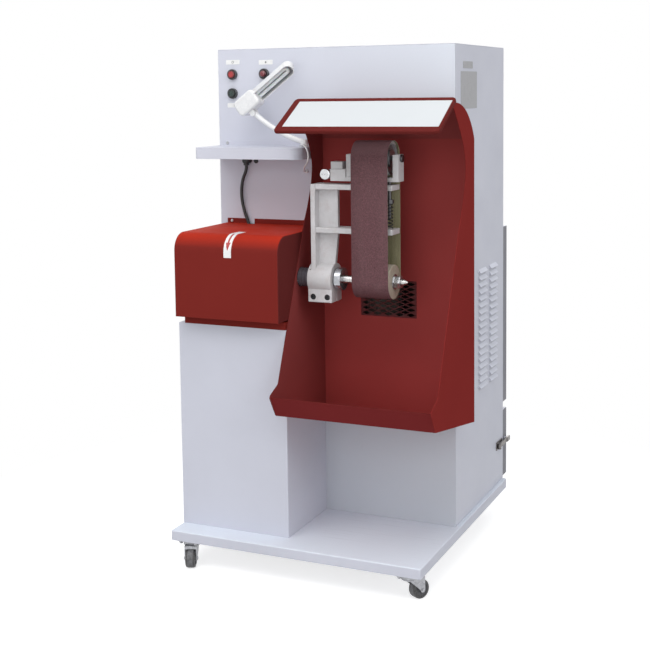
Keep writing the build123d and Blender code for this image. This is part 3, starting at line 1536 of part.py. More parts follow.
with BuildPart() as fan_housing:
    extrude(scroll_outline(0, fan_y[1]), amount=fan_width)
    slab(foot_x, fan_y, (bag_plate_z[1], fan_at[1] - fan_radius / 2))
    extrude(scroll_outline(sheet, fan_y[1] - sheet), amount=fan_width - 2 * sheet, mode=Mode.SUBTRACT)
    rod_y((fan_y[0], fan_y[0] + sheet), fan_at, fan_inlet_radius, mode=Mode.SUBTRACT)
    rod_y(motor_y, fan_at, fan_motor_radius)
    rod_y(
        (fan_y[1] - sheet, motor_y[0] + fan_motor_length / 3),
        fan_at,
        fan_shaft_radius + fit_clearance,
        mode=Mode.SUBTRACT,
    )
save(fan_housing, "fan_housing")

# Fan impeller: back plate, blades, hub and the shaft into the fan motor
impeller_y = (fan_y[1] - impeller_gap - impeller_width, fan_y[1] - impeller_gap)
with BuildPart() as fan_impeller:
    rod_y((impeller_y[1] - sheet, impeller_y[1]), fan_at, impeller_radius)
    with BuildSketch(Plane.XZ.offset(-impeller_y[1])):
        with Locations(fan_at):
            with PolarLocations((impeller_eye_radius + impeller_radius) / 2 - 1, impeller_blade_count):
                Rectangle(impeller_radius - impeller_eye_radius, impeller_blade)
    extrude(amount=impeller_width)
    rod_y((impeller_y[0] + impeller_width / 2, impeller_y[1]), fan_at, impeller_hub_radius)
    rod_y((impeller_y[1], motor_y[0] + fan_motor_length / 4), fan_at, fan_shaft_radius)
save(fan_impeller, "fan_impeller")

# Electrics box on the cabinet's left side, with its contactor inside
box_corner = (inside_x[0], front_y + electrics_front, deck_z + electrics_height)
electrics_x, electrics_y, electrics_z = (
    (corner, corner + size) for corner, size in zip(box_corner, electrics_size)
)
with BuildPart() as electrics_box:
    slab(electrics_x, electrics_y, electrics_z)
    offset(amount=-sheet, openings=electrics_box.faces().sort_by(Axis.Y)[-1])
    slab(
        (electrics_x[0] + sheet, sum(electrics_x) / 2),
        span(sum(electrics_y) / 2, contact_block[1]),
        span(sum(electrics_z) / 2, contact_block[1]),
    )
save(electrics_box, "electrics_box")

# Cable route: straight runs joined by arcs as large as the runs allow


def cable(points, radius, name):
    """A round cable along a route, with each corner's arc set by its two runs."""
    runs = [Vector(*b) - Vector(*a) for a, b in zip(points, points[1:])]
    arcs = []
    for before, after in zip(runs, runs[1:]):
        half_turn = math.radians(before.get_angle(after)) / 2
        arcs.append(0.45 * min(before.length, after.length) / math.tan(half_turn))
    print(name, "arc radii", [round(arc, 1) for arc in arcs])
    with BuildLine() as route:
        FilletPolyline(*points, radius=arcs)
    with BuildSketch(Plane(points[0], z_dir=runs[0].normalized())) as section:
        Circle(radius)
    sweep(section.sketch, path=route.wire())
    print(name, "length", round(route.wire().length, 1))
    return route.wire().length * math.pi * radius**2


# Motor cable: it hangs in a bow from the elbow, passes the cover's notch and turns to the motor
gland_end = (
    box_x[0] + terminal_gland_inset,
    box_y[1] + elbow_length,
    box_z[1] - terminal_gland_drop,
)
elbow_end = (elbow_at[0], front_y - elbow_reach, deck_z + elbow_height)
notch_at = (notch_x[0] + motor_cable_radius + notch_clearance, front_y - notch_reach, cover_top)
hang = Vector(*notch_at) - Vector(*elbow_end)
motor_route = [elbow_end, (elbow_end[0], elbow_end[1], elbow_end[2] - elbow_length)]
for share in cable_bow_shares:
    sag = Vector(*elbow_end) + hang * share
    motor_route.append((sag.X - cable_bow * math.sin(math.pi * share), sag.Y, sag.Z))
motor_route.append(notch_at)
for across, ahead, below in motor_cable_dip:
    motor_route.append((notch_at[0] + across, notch_at[1] - ahead, notch_at[2] - below))
for across, behind, below in motor_cable_turn:
    motor_route.append((gland_end[0] - across, gland_end[1] + behind, gland_end[2] - below))
motor_route += [(gland_end[0], gland_end[1] + elbow_length, gland_end[2]), gland_end]
with BuildPart() as motor_cable:
    plain_volume = cable(motor_route, motor_cable_radius, "motor_cable")
print("motor_cable volume over section times length", round(motor_cable.part.volume / plain_volume, 4))
save(motor_cable, "motor_cable")

# Lamp lead: off the lamp's foot, round the shelf's end and back under it to the panel
nipple_end = (lamp_xy[0], nipple_y[0], shelf_top + lamp_nipple_height / 2)
grommet_end = (grommet_at[0], front_y - grommet_depth, grommet_at[1])
shelf_edge = (shelf_x[1], lamp_y - lamp_nipple_reach, shelf_top)
lamp_route = [nipple_end, (nipple_end[0], nipple_end[1] - lamp_cable_start, nipple_end[2])]
for across, ahead, above in lamp_cable_fall:
    lamp_route.append((shelf_edge[0] + across, shelf_edge[1] - ahead, shelf_edge[2] + above))
for across, ahead, above in lamp_cable_end:
    lamp_route.append((grommet_end[0] + across, grommet_end[1] - ahead, grommet_end[2] + above))
lamp_route.append(grommet_end)
with BuildPart() as lamp_cable:
    plain_volume = cable(lamp_route, lamp_cable_radius, "lamp_cable")
print("lamp_cable volume over section times length", round(lamp_cable.part.volume / plain_volume, 4))
save(lamp_cable, "lamp_cable")

# Glands: the motor cable's elbow, its terminal gland, the lamp lead's grommet and the mains gland
elbow_y = (front_y - elbow_reach - elbow_radius, front_y)
with BuildPart() as cable_glands:
    rod_y(elbow_y, elbow_at, elbow_radius)
    rod_z(
        (deck_z + elbow_height, elbow_at[1]),
        (elbow_at[0], front_y - elbow_reach),
        elbow_radius - 1,
    )
    rod_y((box_y[1], gland_end[1]), (gland_end[0], gland_end[2]), elbow_radius - 1)
    rod_y((front_y - grommet_depth, front_y), grommet_at, grommet_radius)
    rod_y((back_y, back_y + elbow_length), mains_at, mains_gland_radius)
save(cable_glands, "cable_glands")
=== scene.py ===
import json
import math

import bmesh
import bpy
from mathutils import Matrix, Vector

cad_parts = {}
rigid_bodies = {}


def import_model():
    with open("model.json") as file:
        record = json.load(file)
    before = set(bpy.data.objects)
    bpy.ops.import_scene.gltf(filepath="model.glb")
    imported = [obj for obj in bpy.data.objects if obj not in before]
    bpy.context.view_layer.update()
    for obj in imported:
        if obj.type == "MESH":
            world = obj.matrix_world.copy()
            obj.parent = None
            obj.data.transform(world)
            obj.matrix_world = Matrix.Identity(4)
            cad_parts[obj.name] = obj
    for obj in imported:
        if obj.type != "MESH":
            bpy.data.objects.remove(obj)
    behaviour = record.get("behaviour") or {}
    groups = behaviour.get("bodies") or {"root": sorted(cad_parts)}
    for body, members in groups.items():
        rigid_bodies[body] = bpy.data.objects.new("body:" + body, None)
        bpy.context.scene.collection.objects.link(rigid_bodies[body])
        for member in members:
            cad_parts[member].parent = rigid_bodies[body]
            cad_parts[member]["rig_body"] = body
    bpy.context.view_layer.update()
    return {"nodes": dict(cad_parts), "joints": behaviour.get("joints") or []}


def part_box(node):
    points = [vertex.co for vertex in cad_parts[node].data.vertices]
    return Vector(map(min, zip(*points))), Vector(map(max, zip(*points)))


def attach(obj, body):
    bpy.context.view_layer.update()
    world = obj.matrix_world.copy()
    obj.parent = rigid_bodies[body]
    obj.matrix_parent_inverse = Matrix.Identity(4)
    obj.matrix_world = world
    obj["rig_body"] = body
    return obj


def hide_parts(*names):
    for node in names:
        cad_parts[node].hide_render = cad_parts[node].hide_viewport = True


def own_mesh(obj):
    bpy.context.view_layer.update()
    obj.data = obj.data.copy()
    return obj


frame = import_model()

# Base tray: 3 mm steel sheet folded down all round and welded at its corners, with a box
# channel across each end for the casters. It is powder-coated in the cabinet's pale grey,
# and its deck is scuffed where boxes are slid in under the hood. Its upward faces are painted
# lighter and bluer, as painted light from above.


def tree_node(owner, kind, inputs=None, **settings):
    tree = owner.id_data
    made = tree.nodes.new(kind)
    for key, value in settings.items():
        setattr(made, key, value)
    for key, value in (inputs or {}).items():
        if isinstance(value, bpy.types.NodeSocket):
            tree.links.new(value, made.inputs[key])
        else:
            made.inputs[key].default_value = value
    return made


def new_finish(name):
    finish = bpy.data.materials.new(name)
    finish.use_nodes = True
    finish.node_tree.nodes.clear()
    return finish, tree_node(finish.node_tree, "ShaderNodeTexCoord").outputs["Object"]


def mottle(place, scale, detail=2, rough=0.5):
    inputs = {"Vector": place, "Scale": scale, "Detail": detail, "Roughness": rough}
    return tree_node(place, "ShaderNodeTexNoise", inputs).outputs["Fac"]


def between(value, low=0.0, high=1.0, start=0.35, end=0.65):
    inputs = {"Value": value, "From Min": start, "From Max": end, "To Min": low, "To Max": high}
    return tree_node(value, "ShaderNodeMapRange", inputs).outputs["Result"]


def patches(place, noise, *limits):
    return between(mottle(place, *noise), *limits)


def worked(operation, *values):
    return tree_node(values[0], "ShaderNodeMath", dict(enumerate(values)), operation=operation).outputs[0]


def times(first, second):
    return worked("MULTIPLY", first, second)


def within(value, low, high, blur):
    rising = between(value, 0.0, 1.0, low - blur, low + blur)
    return times(rising, between(value, 1.0, 0.0, high - blur, high + blur))


def toned(colour, share):
    return [c * share for c in colour]


def tint(share, first, second):
    colours = [c if isinstance(c, bpy.types.NodeSocket) else (*c, 1.0) for c in (first, second)]
    inputs = {0: share, 6: colours[0], 7: colours[1]}
    return tree_node(share, "ShaderNodeMix", inputs, data_type="RGBA").outputs[2]


def stained(tone, place, noise, most, start, end, mark):
    return tint(patches(place, noise, 0.0, most, start, end), tone, mark)


def relief(height, strength, depth, under=None):
    inputs = {"Height": height, "Strength": strength, "Distance": depth}
    if under is not None:
        inputs["Normal"] = under
    return tree_node(height, "ShaderNodeBump", inputs).outputs["Normal"]


def stretched(place, scale, turn=(0, 0, 0), move=(0, 0, 0)):
    inputs = {"Vector": place, "Location": move, "Rotation": turn, "Scale": scale}
    return tree_node(place, "ShaderNodeMapping", inputs).outputs["Vector"]


def coordinates(place):
    return tree_node(place, "ShaderNodeSeparateXYZ", {"Vector": place}).outputs


def facing_up(place, start, end):
    normal = tree_node(place, "ShaderNodeNewGeometry").outputs["Normal"]
    return between(coordinates(normal)["Z"], 0.0, 1.0, start, end)


def shade(colour, rough, normal, more=None):
    sockets = {"Base Color": colour, "Roughness": rough, "Normal": normal, **(more or {})}
    shader = tree_node(normal, "ShaderNodeBsdfPrincipled", sockets)
    tree_node(shader, "ShaderNodeOutputMaterial", {"Surface": shader.outputs["BSDF"]})


def powder_coat(name, colour, gloss, shine=0.15, dust=None, scuffs=0.0, top_light=None, shade_and_light=None, column_shade=None):
    finish, place = new_finish(name)
    coat = tint(patches(place, (2.4, 4, 0.6)), toned(colour, 0.97), toned(colour, 1.03))
    # Upward faces are tinted towards a lighter colour: painted light from above.
    if top_light is not None:
        painted_top_share = times(facing_up(place, 0.25, 0.9), patches(place, (4, 4), 0.85, 1.0))
        coat = tint(painted_top_share, coat, top_light)
    # Darker towards the bottom as painted shade, and lighter and bluer in a band 1.1 to 1.25 m high as
    # painted light.
    if shade_and_light is not None:
        shade_tone, low, high, light_tone = shade_and_light
        parts = coordinates(place)
        coat = tint(between(parts["Z"], 1.0, 0.0, low, high), coat, shade_tone)
        light_patch = times(between(parts["Z"], 0.0, 1.0, 1.1, 1.25), between(parts["X"], 0.0, 1.0, -0.3, 0.3))
        coat = tint(light_patch, coat, light_tone)
    # The wall inside the louvre columns is tinted darker: painted shadow under the louvres.
    if column_shade is not None:
        stain_and_shade, columns, low, high = column_shade
        parts = coordinates(place)
        level = within(parts["Z"], low, high, 0.003)
        for start, end in columns:
            coat = tint(times(level, within(parts["Y"], start, end, 0.002)), coat, stain_and_shade)
    coat = stained(coat, place, (1100, 1), 0.16, 0.6, 0.74, toned(colour, 0.72))
    if dust is not None:
        lying = times(facing_up(place, 0.3, 0.95), patches(place, (7, 6, 0.65), 0.0, 0.34))
        coat = tint(lying, coat, dust)
    if scuffs:
        worn = times(patches(place, (5, 3), 0.0, 1.0, 0.48, 0.66), facing_up(place, 0.9, 0.99))
        for turn in (0.35, -0.6, 1.9):
            lines = mottle(stretched(place, (5, 240, 5), (0, 0, turn)), 1.0, 2)
            marks = times(between(lines, 0.0, scuffs, 0.64, 0.72), worn)
            coat = tint(marks, coat, toned(colour, 0.6))
    shade(
        coat, patches(place, (9, 4, 0.6), gloss - 0.05, gloss + 0.07),
        relief(mottle(place, 310, 2), 0.10, 0.0006), {"Specular IOR Level": shine},
    )
    return finish


def add_piece(name, mesh):
    piece = bpy.data.objects.new(name, mesh)
    bpy.context.scene.collection.objects.link(piece)
    return piece


def broken_edges(name, finish, edge, steps=2, crease=30, chosen=None):
    solid = frame["nodes"][name]
    mesh = bpy.data.meshes.new(name + "_finished")
    mesh.from_pydata([v.co[:] for v in solid.data.vertices], [], [f.vertices[:] for f in solid.data.polygons])
    work = bmesh.new()
    work.from_mesh(mesh)
    bmesh.ops.remove_doubles(work, verts=work.verts, dist=2e-6)
    bmesh.ops.dissolve_limit(work, angle_limit=math.radians(0.5), verts=work.verts, edges=work.edges)
    if chosen is not None:
        weight = work.edges.layers.float.new("bevel_weight_edge")
        for line in work.edges:
            sharp = line.is_manifold and line.calc_face_angle() > math.radians(crease)
            line[weight] = float(chosen(line)) if sharp else 0.0
    work.to_mesh(mesh)
    work.free()
    mesh.shade_smooth()
    mesh.set_sharp_from_angle(angle=math.radians(crease))
    mesh.materials.append(finish)
    piece = add_piece(name + "_finished", mesh)
    if edge:
        bevel = piece.modifiers.new("broken_edges", "BEVEL")
        bevel.width = edge
        bevel.segments = steps
        bevel.limit_method = "ANGLE" if chosen is None else "WEIGHT"
        bevel.angle_limit = math.radians(crease)
        bevel.use_clamp_overlap = False
        bevel.harden_normals = True
    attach(piece, solid["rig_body"])
    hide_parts(name)
    return piece


pale = (0.615, 0.625, 0.70)
# Lighter, bluer upward faces: painted light from above; the scuffs are wear.
deck_coat = powder_coat("pale_deck_coat", pale, 0.46, scuffs=0.16, top_light=(0.74, 0.79, 0.87))
broken_edges("base_tray", deck_coat, 0.0006)

# Casters: pressed zinc-plated top plates and forks, each plate held up by four hex bolts,
# with wheels of dark rubber moulded on a nylon hub. The wheels turn on riveted axles.


def zinc_plate(name, colour, crystal, contrast):
    finish, place = new_finish(name)
    cells = tree_node(place, "ShaderNodeTexVoronoi", {"Vector": place, "Scale": crystal}).outputs["Color"]
    tone = tree_node(place, "ShaderNodeSeparateColor", {"Color": cells}).outputs["Red"]
    coat = tint(tone, toned(colour, 1 - contrast), toned(colour, 1 + contrast))
    coat = stained(coat, place, (38, 5, 0.7), 0.5, 0.5, 0.75, toned(colour, 0.62))
    shade(
        coat, patches(place, (160, 3), 0.26, 0.46),
        relief(mottle(place, 900, 2), 0.12, 0.0003), {"Metallic": 0.9},
    )
    return finish


def mottled(name, tones, noise, sheen, grain, stain_and_shade=None, more=None):
    finish, place = new_finish(name)
    tone = tint(patches(place, noise), *tones)
    if stain_and_shade is not None:
        tone = stained(tone, place, *stain_and_shade)
    texture, strength, depth = grain
    shade(tone, patches(place, *sheen), relief(mottle(place, *texture), strength, depth), more)
    return finish


def turned(profile, centre, axis, turns=64, closed=False, bands=None):
    along = Vector(axis).normalized()
    side = along.orthogonal().normalized()
    across = along.cross(side)
    work = bmesh.new()
    rings = []
    for distance, radius in profile:
        middle = Vector(centre) + along * distance
        ring = []
        for k in range(turns if radius else 1):
            angle = 2 * math.pi * k / turns
            ring.append(work.verts.new(middle + (side * math.cos(angle) + across * math.sin(angle)) * radius))
        rings.append(ring)
    pairs = list(zip(rings, rings[1:])) + ([(rings[-1], rings[0])] if closed else [])
    for index, (low, high) in enumerate(pairs):
        for k in range(turns):
            j = k + 1
            corners = [low[k % len(low)], low[j % len(low)], high[j % len(high)], high[k % len(high)]]
            face = work.faces.new(list(dict.fromkeys(corners)))
            face.material_index = bands[index] if bands else 0
    return work


def made_of(work, name, finishes, crease=35):
    bmesh.ops.recalc_face_normals(work, faces=work.faces)
    mesh = bpy.data.meshes.new(name)
    work.to_mesh(mesh)
    work.free()
    mesh.shade_smooth()
    mesh.set_sharp_from_angle(angle=math.radians(crease))
    for finish in finishes:
        mesh.materials.append(finish)
    return add_piece(name, mesh)


def fastener_row(name, head, points, turn, radius, height, finish):
    tree = bpy.data.node_groups.new(name + "_row", "GeometryNodeTree")
    for label, way in (("Points", "INPUT"), ("Heads", "OUTPUT")):
        tree.interface.new_socket(label, in_out=way, socket_type="NodeSocketGeometry")
    entry = tree_node(tree, "NodeGroupInput").outputs["Points"]
    inputs = {"Points": entry, "Instance": head(tree, radius, height), "Rotation": turn}
    placed = tree_node(tree, "GeometryNodeInstanceOnPoints", inputs).outputs["Instances"]
    real = tree_node(tree, "GeometryNodeRealizeInstances", {"Geometry": placed}).outputs["Geometry"]
    inputs = {"Geometry": real, "Material": finish}
    coated = tree_node(tree, "GeometryNodeSetMaterial", inputs).outputs["Geometry"]
    tree_node(tree, "NodeGroupOutput", {"Heads": coated})
    spots = bpy.data.meshes.new(name)
    spots.from_pydata(points, [], [])
    piece = add_piece(name, spots)
    piece.modifiers.new("heads", "NODES").node_group = tree
    plain = bpy.data.meshes.new_from_object(piece.evaluated_get(bpy.context.evaluated_depsgraph_get()))
    piece.modifiers.clear()
    piece.data = plain
    return piece


def hex_head(tree, radius, height):
    joined = tree_node(tree, "GeometryNodeJoinGeometry")
    for sides, top, bottom, tall in ((6, 0.95, 1.0, 1.0), (28, 1.26, 1.3, 0.28)):
        sizes = {"Radius Top": radius * top, "Radius Bottom": radius * bottom, "Depth": height * tall}
        cone = tree_node(tree, "GeometryNodeMeshCone", {"Vertices": sides, **sizes})
        tree.links.new(cone.outputs["Mesh"], joined.inputs["Geometry"])
    return joined.outputs["Geometry"]


def joint(name):
    return next(j for j in frame["joints"] if j["name"] == name)


caster_zinc = zinc_plate("caster_zinc", (0.36, 0.365, 0.385), 170, 0.12)
broken_edges("caster_plates", caster_zinc, 0.0005)
tyre_rubber = mottled(
    "caster_tyre_rubber", [(0.022, 0.022, 0.024), (0.055, 0.054, 0.055)], (70, 5, 0.65),
    ((45, 3), 0.24, 0.4), ((1400, 2), 0.12, 0.0003),
    stain_and_shade=((260, 4, 0.7), 0.5, 0.52, 0.72, (0.16, 0.15, 0.14)),
)
hub_nylon = mottled(
    "caster_hub_nylon", [(0.06, 0.06, 0.065), (0.10, 0.10, 0.105)], (60, 4),
    ((220, 2), 0.4, 0.55), ((1600, 1), 0.1, 0.0002),
)
# The middle band of the tread is a lighter grey: painted highlight along the tyre.
tread_highlight = mottled(
    "caster_tread_highlight", [(0.06, 0.06, 0.063), (0.18, 0.18, 0.187)], (150, 5, 0.7),
    ((150, 5, 0.7), 0.45, 0.7), ((1100, 3), 0.2, 0.0003),
)
half_wheel = [
    (0.013, 0.0042), (0.013, 0.0072), (0.0114, 0.008), (0.0098, 0.0092), (0.0096, 0.014),
    (0.0108, 0.0158), (0.0127, 0.0164), (0.013, 0.0172), (0.013, 0.0196), (0.0127, 0.0216),
    (0.0118, 0.0232), (0.0101, 0.0243), (0.0075, 0.0249), (0.004, 0.025),
]
wheel_profile = half_wheel + [(-d, r) for d, r in reversed(half_wheel)]
# Faces take the hub, the tyre, and in the middle of the tread the lighter painted highlight.
wheel_bands = [1] * 6 + [0] * 6 + [2] * 3 + [0] * 6 + [1] * 7
plate_underside, bolt_reach = 0.0675, (-0.022, 0.022)
bolt_spots = []
for corner in ("front_left", "front_right", "rear_left", "rear_right"):
    broken_edges(f"caster_fork_{corner}", caster_zinc, 0.0005)
    roll = joint(f"roll_{corner}")
    work = turned(wheel_profile, roll["pos_m"], roll["axis"], 72, closed=True, bands=wheel_bands)
    wheel = made_of(work, f"caster_wheel_{corner}_moulded", [tyre_rubber, hub_nylon, tread_highlight], 40)
    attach(wheel, f"caster_wheel_{corner}")
    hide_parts(f"caster_wheel_{corner}")
    pin = joint(f"swivel_{corner}")["pos_m"]
    bolt_spots += [(pin[0] + dx, pin[1] + dy, plate_underside) for dx in bolt_reach for dy in bolt_reach]
caster_bolts = fastener_row(
    "caster_bolts", hex_head, bolt_spots, (math.pi, 0, 0), 0.0052, 0.0062, caster_zinc
)
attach(caster_bolts, "cabinet")

# Cabinet shell: 2 mm steel sheets with folded flanges, spot-welded behind and coated pale
# grey. The right side has two columns of pressed louvres, with painted shadow on the wall
# between them and painted highlights on their slopes, and the lid is a separate plate.


def recoat(piece, finish, chosen):
    piece.data.materials.append(finish)
    last = len(piece.data.materials) - 1
    for face in piece.data.polygons:
        if chosen(face):
            face.material_index = last


cabinet_coat = powder_coat("pale_cabinet_coat", pale, 0.42)
# The front is painted darker towards the bottom as painted shade, and lighter and bluer in a band 1.1 to 1.25
# m high as painted light.
front_coat = powder_coat(
    "pale_front_coat", pale, 0.42, shade_and_light=((0.55, 0.575, 0.625), 0.40, 0.75, (0.685, 0.72, 0.785))
)
broken_edges("cabinet_front", front_coat, 0.0009, 3)
broken_edges("cabinet_left_side", cabinet_coat, 0.0006)
louvre_columns = [(middle - 0.034, middle + 0.034) for middle in (0.1521, 0.2561)]
# Darker wall between the louvres: painted shadow.
louvre_shade = ((0.51, 0.52, 0.583), louvre_columns, 0.421, 0.757)
side_coat = powder_coat("pale_side_coat", pale, 0.42, column_shade=louvre_shade)
right_side = broken_edges("cabinet_right_side", side_coat, 0.0004, 1)
# The louvres' upward slopes wear a lighter copy of the pale coat: painted highlight.
louvre_highlight_coat = powder_coat("pale_louvre_highlight_coat", (0.735, 0.75, 0.835), 0.42)
recoat(right_side, louvre_highlight_coat, lambda face: face.normal.x > 0.3 and face.normal.z > 0.3)
broken_edges("cabinet_top", cabinet_coat, 0.0008, 3)
broken_edges("cabinet_back", cabinet_coat, 0.0005)

# Inner decks: bare galvanised sheets inside the cabinet that hold the filter bags, part off
# the exhaust chamber and carry the drawer on two runners.
galvanised = zinc_plate("galvanised_sheet", (0.60, 0.62, 0.64), 95, 0.16)
broken_edges("inner_decks", galvanised, 0.0003, 1)

# Filter bags: six sewn tubes of grey needle felt, closed at the bottom. Each hangs from its
# collar under the bag plate by a steel band, and its cloth falls in soft upright folds.
bag_felt, place = new_finish("filter_bag_felt")
fibres = mottle(place, 700, 6, 0.75)
felt = tint(between(fibres, 0, 1, 0.3, 0.7), (0.13, 0.115, 0.10), (0.22, 0.205, 0.18))
felt = stained(felt, stretched(place, (6, 6, 1.6)), (1.0, 6, 0.7), 0.6, 0.4, 0.72, (0.10, 0.07, 0.055))
shade(felt, 0.95, relief(fibres, 0.5, 0.0008), {"Sheen Weight": 0.35})
bag_low, bag_high = (corner.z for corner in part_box("filter_bags"))
bag_spots = [(x, y) for x in (-0.276, -0.106, 0.064) for y in (0.0421, 0.2321)]
bag_radius, bag_sides, bag_levels = 0.0636, 96, 60
foot_height, band_drop = 0.014, 0.014
band_profile = [
    (-0.006, 0.064), (-0.006, 0.0648), (-0.0052, 0.0652), (0.0052, 0.0652), (0.006, 0.0648), (0.006, 0.064),
]
for index, (x, y) in enumerate(bag_spots):
    work = bmesh.new()
    rows = []
    for level in range(bag_levels + 1):
        fall = level / bag_levels
        slack = math.sin(math.pi * min(1.0, fall * 1.15)) ** 0.6 if fall < 0.87 else 1.0
        z = bag_high - 0.0004 - fall * (bag_high - bag_low - foot_height)
        ring = []
        for k in range(bag_sides):
            angle = 2 * math.pi * k / bag_sides
            fold = math.sin(7 * angle + index * 1.7 + 1.1 * math.sin(5 * fall + index))
            small = math.sin(17 * angle - 3.1 * index + 9 * fall)
            sag = 0.0012 * math.sin(31 * fall + 2 * angle + index)
            radius = bag_radius - slack * (0.0016 + 0.0014 * fold + 0.0006 * small + 0.6 * abs(sag))
            ring.append(work.verts.new((x + radius * math.cos(angle), y + radius * math.sin(angle), z)))
        rows.append(ring)
    hem = [v.co for v in rows[bag_levels]]
    for share, lower in ((0.97, 0.004), (0.88, 0.0085), (0.7, 0.0115), (0.4, 0.0128)):
        spots = [(x + (v.x - x) * share, y + (v.y - y) * share, v.z - lower) for v in hem]
        rows.append([work.verts.new(spot) for spot in spots])
    tip = work.verts.new((x, y, bag_low + 0.0008))
    for k in range(bag_sides):
        j = (k + 1) % bag_sides
        for low, high in zip(rows, rows[1:]):
            work.faces.new((low[k], high[k], high[j], low[j]))
        work.faces.new((rows[-1][k], tip, rows[-1][j]))
    bag = made_of(work, f"filter_bag_{index + 1}", [bag_felt], 60)
    wall = bag.modifiers.new("felt_thickness", "SOLIDIFY")
    wall.thickness = 0.0014
    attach(bag, "cabinet")
    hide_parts("filter_bags")
for index, (x, y) in enumerate(bag_spots):
    work = turned(band_profile, (x, y, bag_high - band_drop), (0, 0, 1), 72, closed=True)
    band = made_of(work, f"filter_bag_band_{index + 1}", [caster_zinc], 40)
    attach(band, "cabinet")

# Fan and electrics: a scroll fan of hammered-paint sheet with its own motor draws the air
# through the bags; the contactor sits in an open steel box on the left side.
fan_paint, place = new_finish("hammered_grey_paint")
cells = {"Vector": place, "Scale": 420}
lumps = tree_node(place, "ShaderNodeTexVoronoi", cells, feature="SMOOTH_F1").outputs["Distance"]
grey = tint(between(lumps, 0, 1, 0.1, 0.6), (0.16, 0.18, 0.20), (0.10, 0.115, 0.13))
grey = stained(grey, place, (11, 5, 0.65), 0.4, 0.5, 0.75, (0.07, 0.06, 0.05))
shade(grey, patches(place, (25, 3), 0.36, 0.52), relief(lumps, 0.35, 0.0005))
broken_edges("fan_housing", fan_paint, 0.0005)
broken_edges("fan_impeller", galvanised, 0.0004)
broken_edges("electrics_box", fan_paint, 0.0005)

# Filter door and dust drawer: deep folded pans at the back in the cabinet's coat, with bow
# handles of bright bar. The door hangs on two pin hinges; the drawer slides on its runners.


def bright_bar(name, colour, gloss):
    finish, place = new_finish(name)
    lines = mottle(stretched(place, (90, 90, 2600)), 1.0, 3)
    tone = tint(between(lines), toned(colour, 0.9), colour)
    tone = stained(tone, place, (30, 5, 0.7), 0.35, 0.52, 0.75, toned(colour, 0.7))
    sheen = patches(place, (55, 4), gloss - 0.05, gloss + 0.1)
    shade(tone, sheen, relief(lines, 0.06, 0.0002), {"Metallic": 1.0})
    return finish


bright_steel = bright_bar("bright_steel", (0.74, 0.75, 0.77), 0.16)
handle_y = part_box("filter_door")[1].y - 0.0276
# The pans' right-facing side faces are painted dark grey: painted shade on the door edges.
shadow_coat = powder_coat("grey_painted_shade", (0.24, 0.24, 0.265), 0.55)
for name in ("filter_door", "dust_drawer"):
    pan = broken_edges(name, cabinet_coat, 0.0008, 3)
    recoat(pan, bright_steel, lambda face: face.center.y > handle_y)
    recoat(pan, shadow_coat, lambda face: face.normal.x > 0.9 and face.center.x > 0.3)

# Draw latch: a plated plate riveted to the right side, with a pressed lever that hooks over
# the keeper on the drawer front.
latch_zinc = zinc_plate("latch_zinc", (0.21, 0.195, 0.19), 150, 0.14)
broken_edges("latch_base", latch_zinc, 0.0004)
broken_edges("latch_lever", latch_zinc, 0.0006)

# Pedestal: a folded sheet column in the cabinet's coat that carries the motor, open at its
# back and flanged in at the top.
broken_edges("pedestal", cabinet_coat, 0.0005)

# Motor pan and spindle motor: a shallow red tray with two rails, and on them a finned
# totally enclosed motor in grey-blue paint with its terminal box on top.
hood_red = (0.188, 0.0218, 0.0173)
# Upward faces of the motor pan and cover are tinted lighter: painted light from above.
red_coat = powder_coat("red_coat", hood_red, 0.50, shine=0.02, top_light=(0.45, 0.031, 0.0145))
broken_edges("motor_pan", red_coat, 0.0006)
motor_paint, place = new_finish("motor_paint")
blue_grey = tint(patches(place, (16, 5, 0.6)), (0.095, 0.115, 0.14), (0.13, 0.155, 0.185))
dusty = times(facing_up(place, 0.2, 0.9), patches(place, (30, 5, 0.7), 0.0, 0.5))
blue_grey = tint(dusty, blue_grey, (0.33, 0.28, 0.24))
shade(blue_grey, patches(place, (60, 3), 0.42, 0.6), relief(mottle(place, 620, 3), 0.22, 0.0005))
broken_edges("motor_frame", motor_paint, 0.0004, 1)

# Motor cover: one red sheet rolled over the motor with welded ends, screwed to the cabinet
# by a flange that is notched for the cable. A white strip shows which way the belt runs.
cover_ends = (-0.362, -0.056)
cover_top, cover_front, cover_bend = 0.898, -0.373898, 0.046
bend_y, bend_z = cover_front + cover_bend, cover_top - cover_bend
near_face, past_bend = 0.0005, 0.0009


def rolled_cover_edge(line):
    spots = [v.co for v in line.verts]
    at_an_end = any(all(abs(s.x - end) < near_face for s in spots) for end in cover_ends)
    flat = [s.z > cover_top - near_face or s.y < cover_front + near_face for s in spots]
    bent = [s.z > bend_z and s.y < bend_y + past_bend for s in spots]
    outside = all(either or other for either, other in zip(flat, bent))
    return 1.0 if at_an_end and outside else 0.15


cover = broken_edges("motor_cover", red_coat, 0.004, 4, chosen=rolled_cover_edge)
# The cover's right end wears a darker copy of its red: painted shade.
end_coat = powder_coat("red_end_coat", (0.14, 0.026, 0.0245), 0.50, shine=0.01)
recoat(cover, end_coat, lambda face: face.normal.x > 0.9 and face.center.x > -0.1)


def over_the_bend(distance, lift):
    radius = cover_bend + lift
    turn_start, turn_end = 0.041, 0.041 + 0.5 * math.pi * cover_bend
    if distance < turn_start:
        return (bend_y + turn_start - distance, cover_top + lift)
    if distance < turn_end:
        angle = (distance - turn_start) / cover_bend
        return (bend_y - radius * math.sin(angle), bend_z + radius * math.cos(angle))
    return (cover_front - lift, bend_z - (distance - turn_end))


def closed_skin(work, rows):
    for near, far in zip(rows, rows[1:]):
        for k in range(len(near)):
            j = (k + 1) % len(near)
            work.faces.new((near[k], near[j], far[j], far[k]))
    work.faces.new(rows[0])
    work.faces.new(rows[-1])


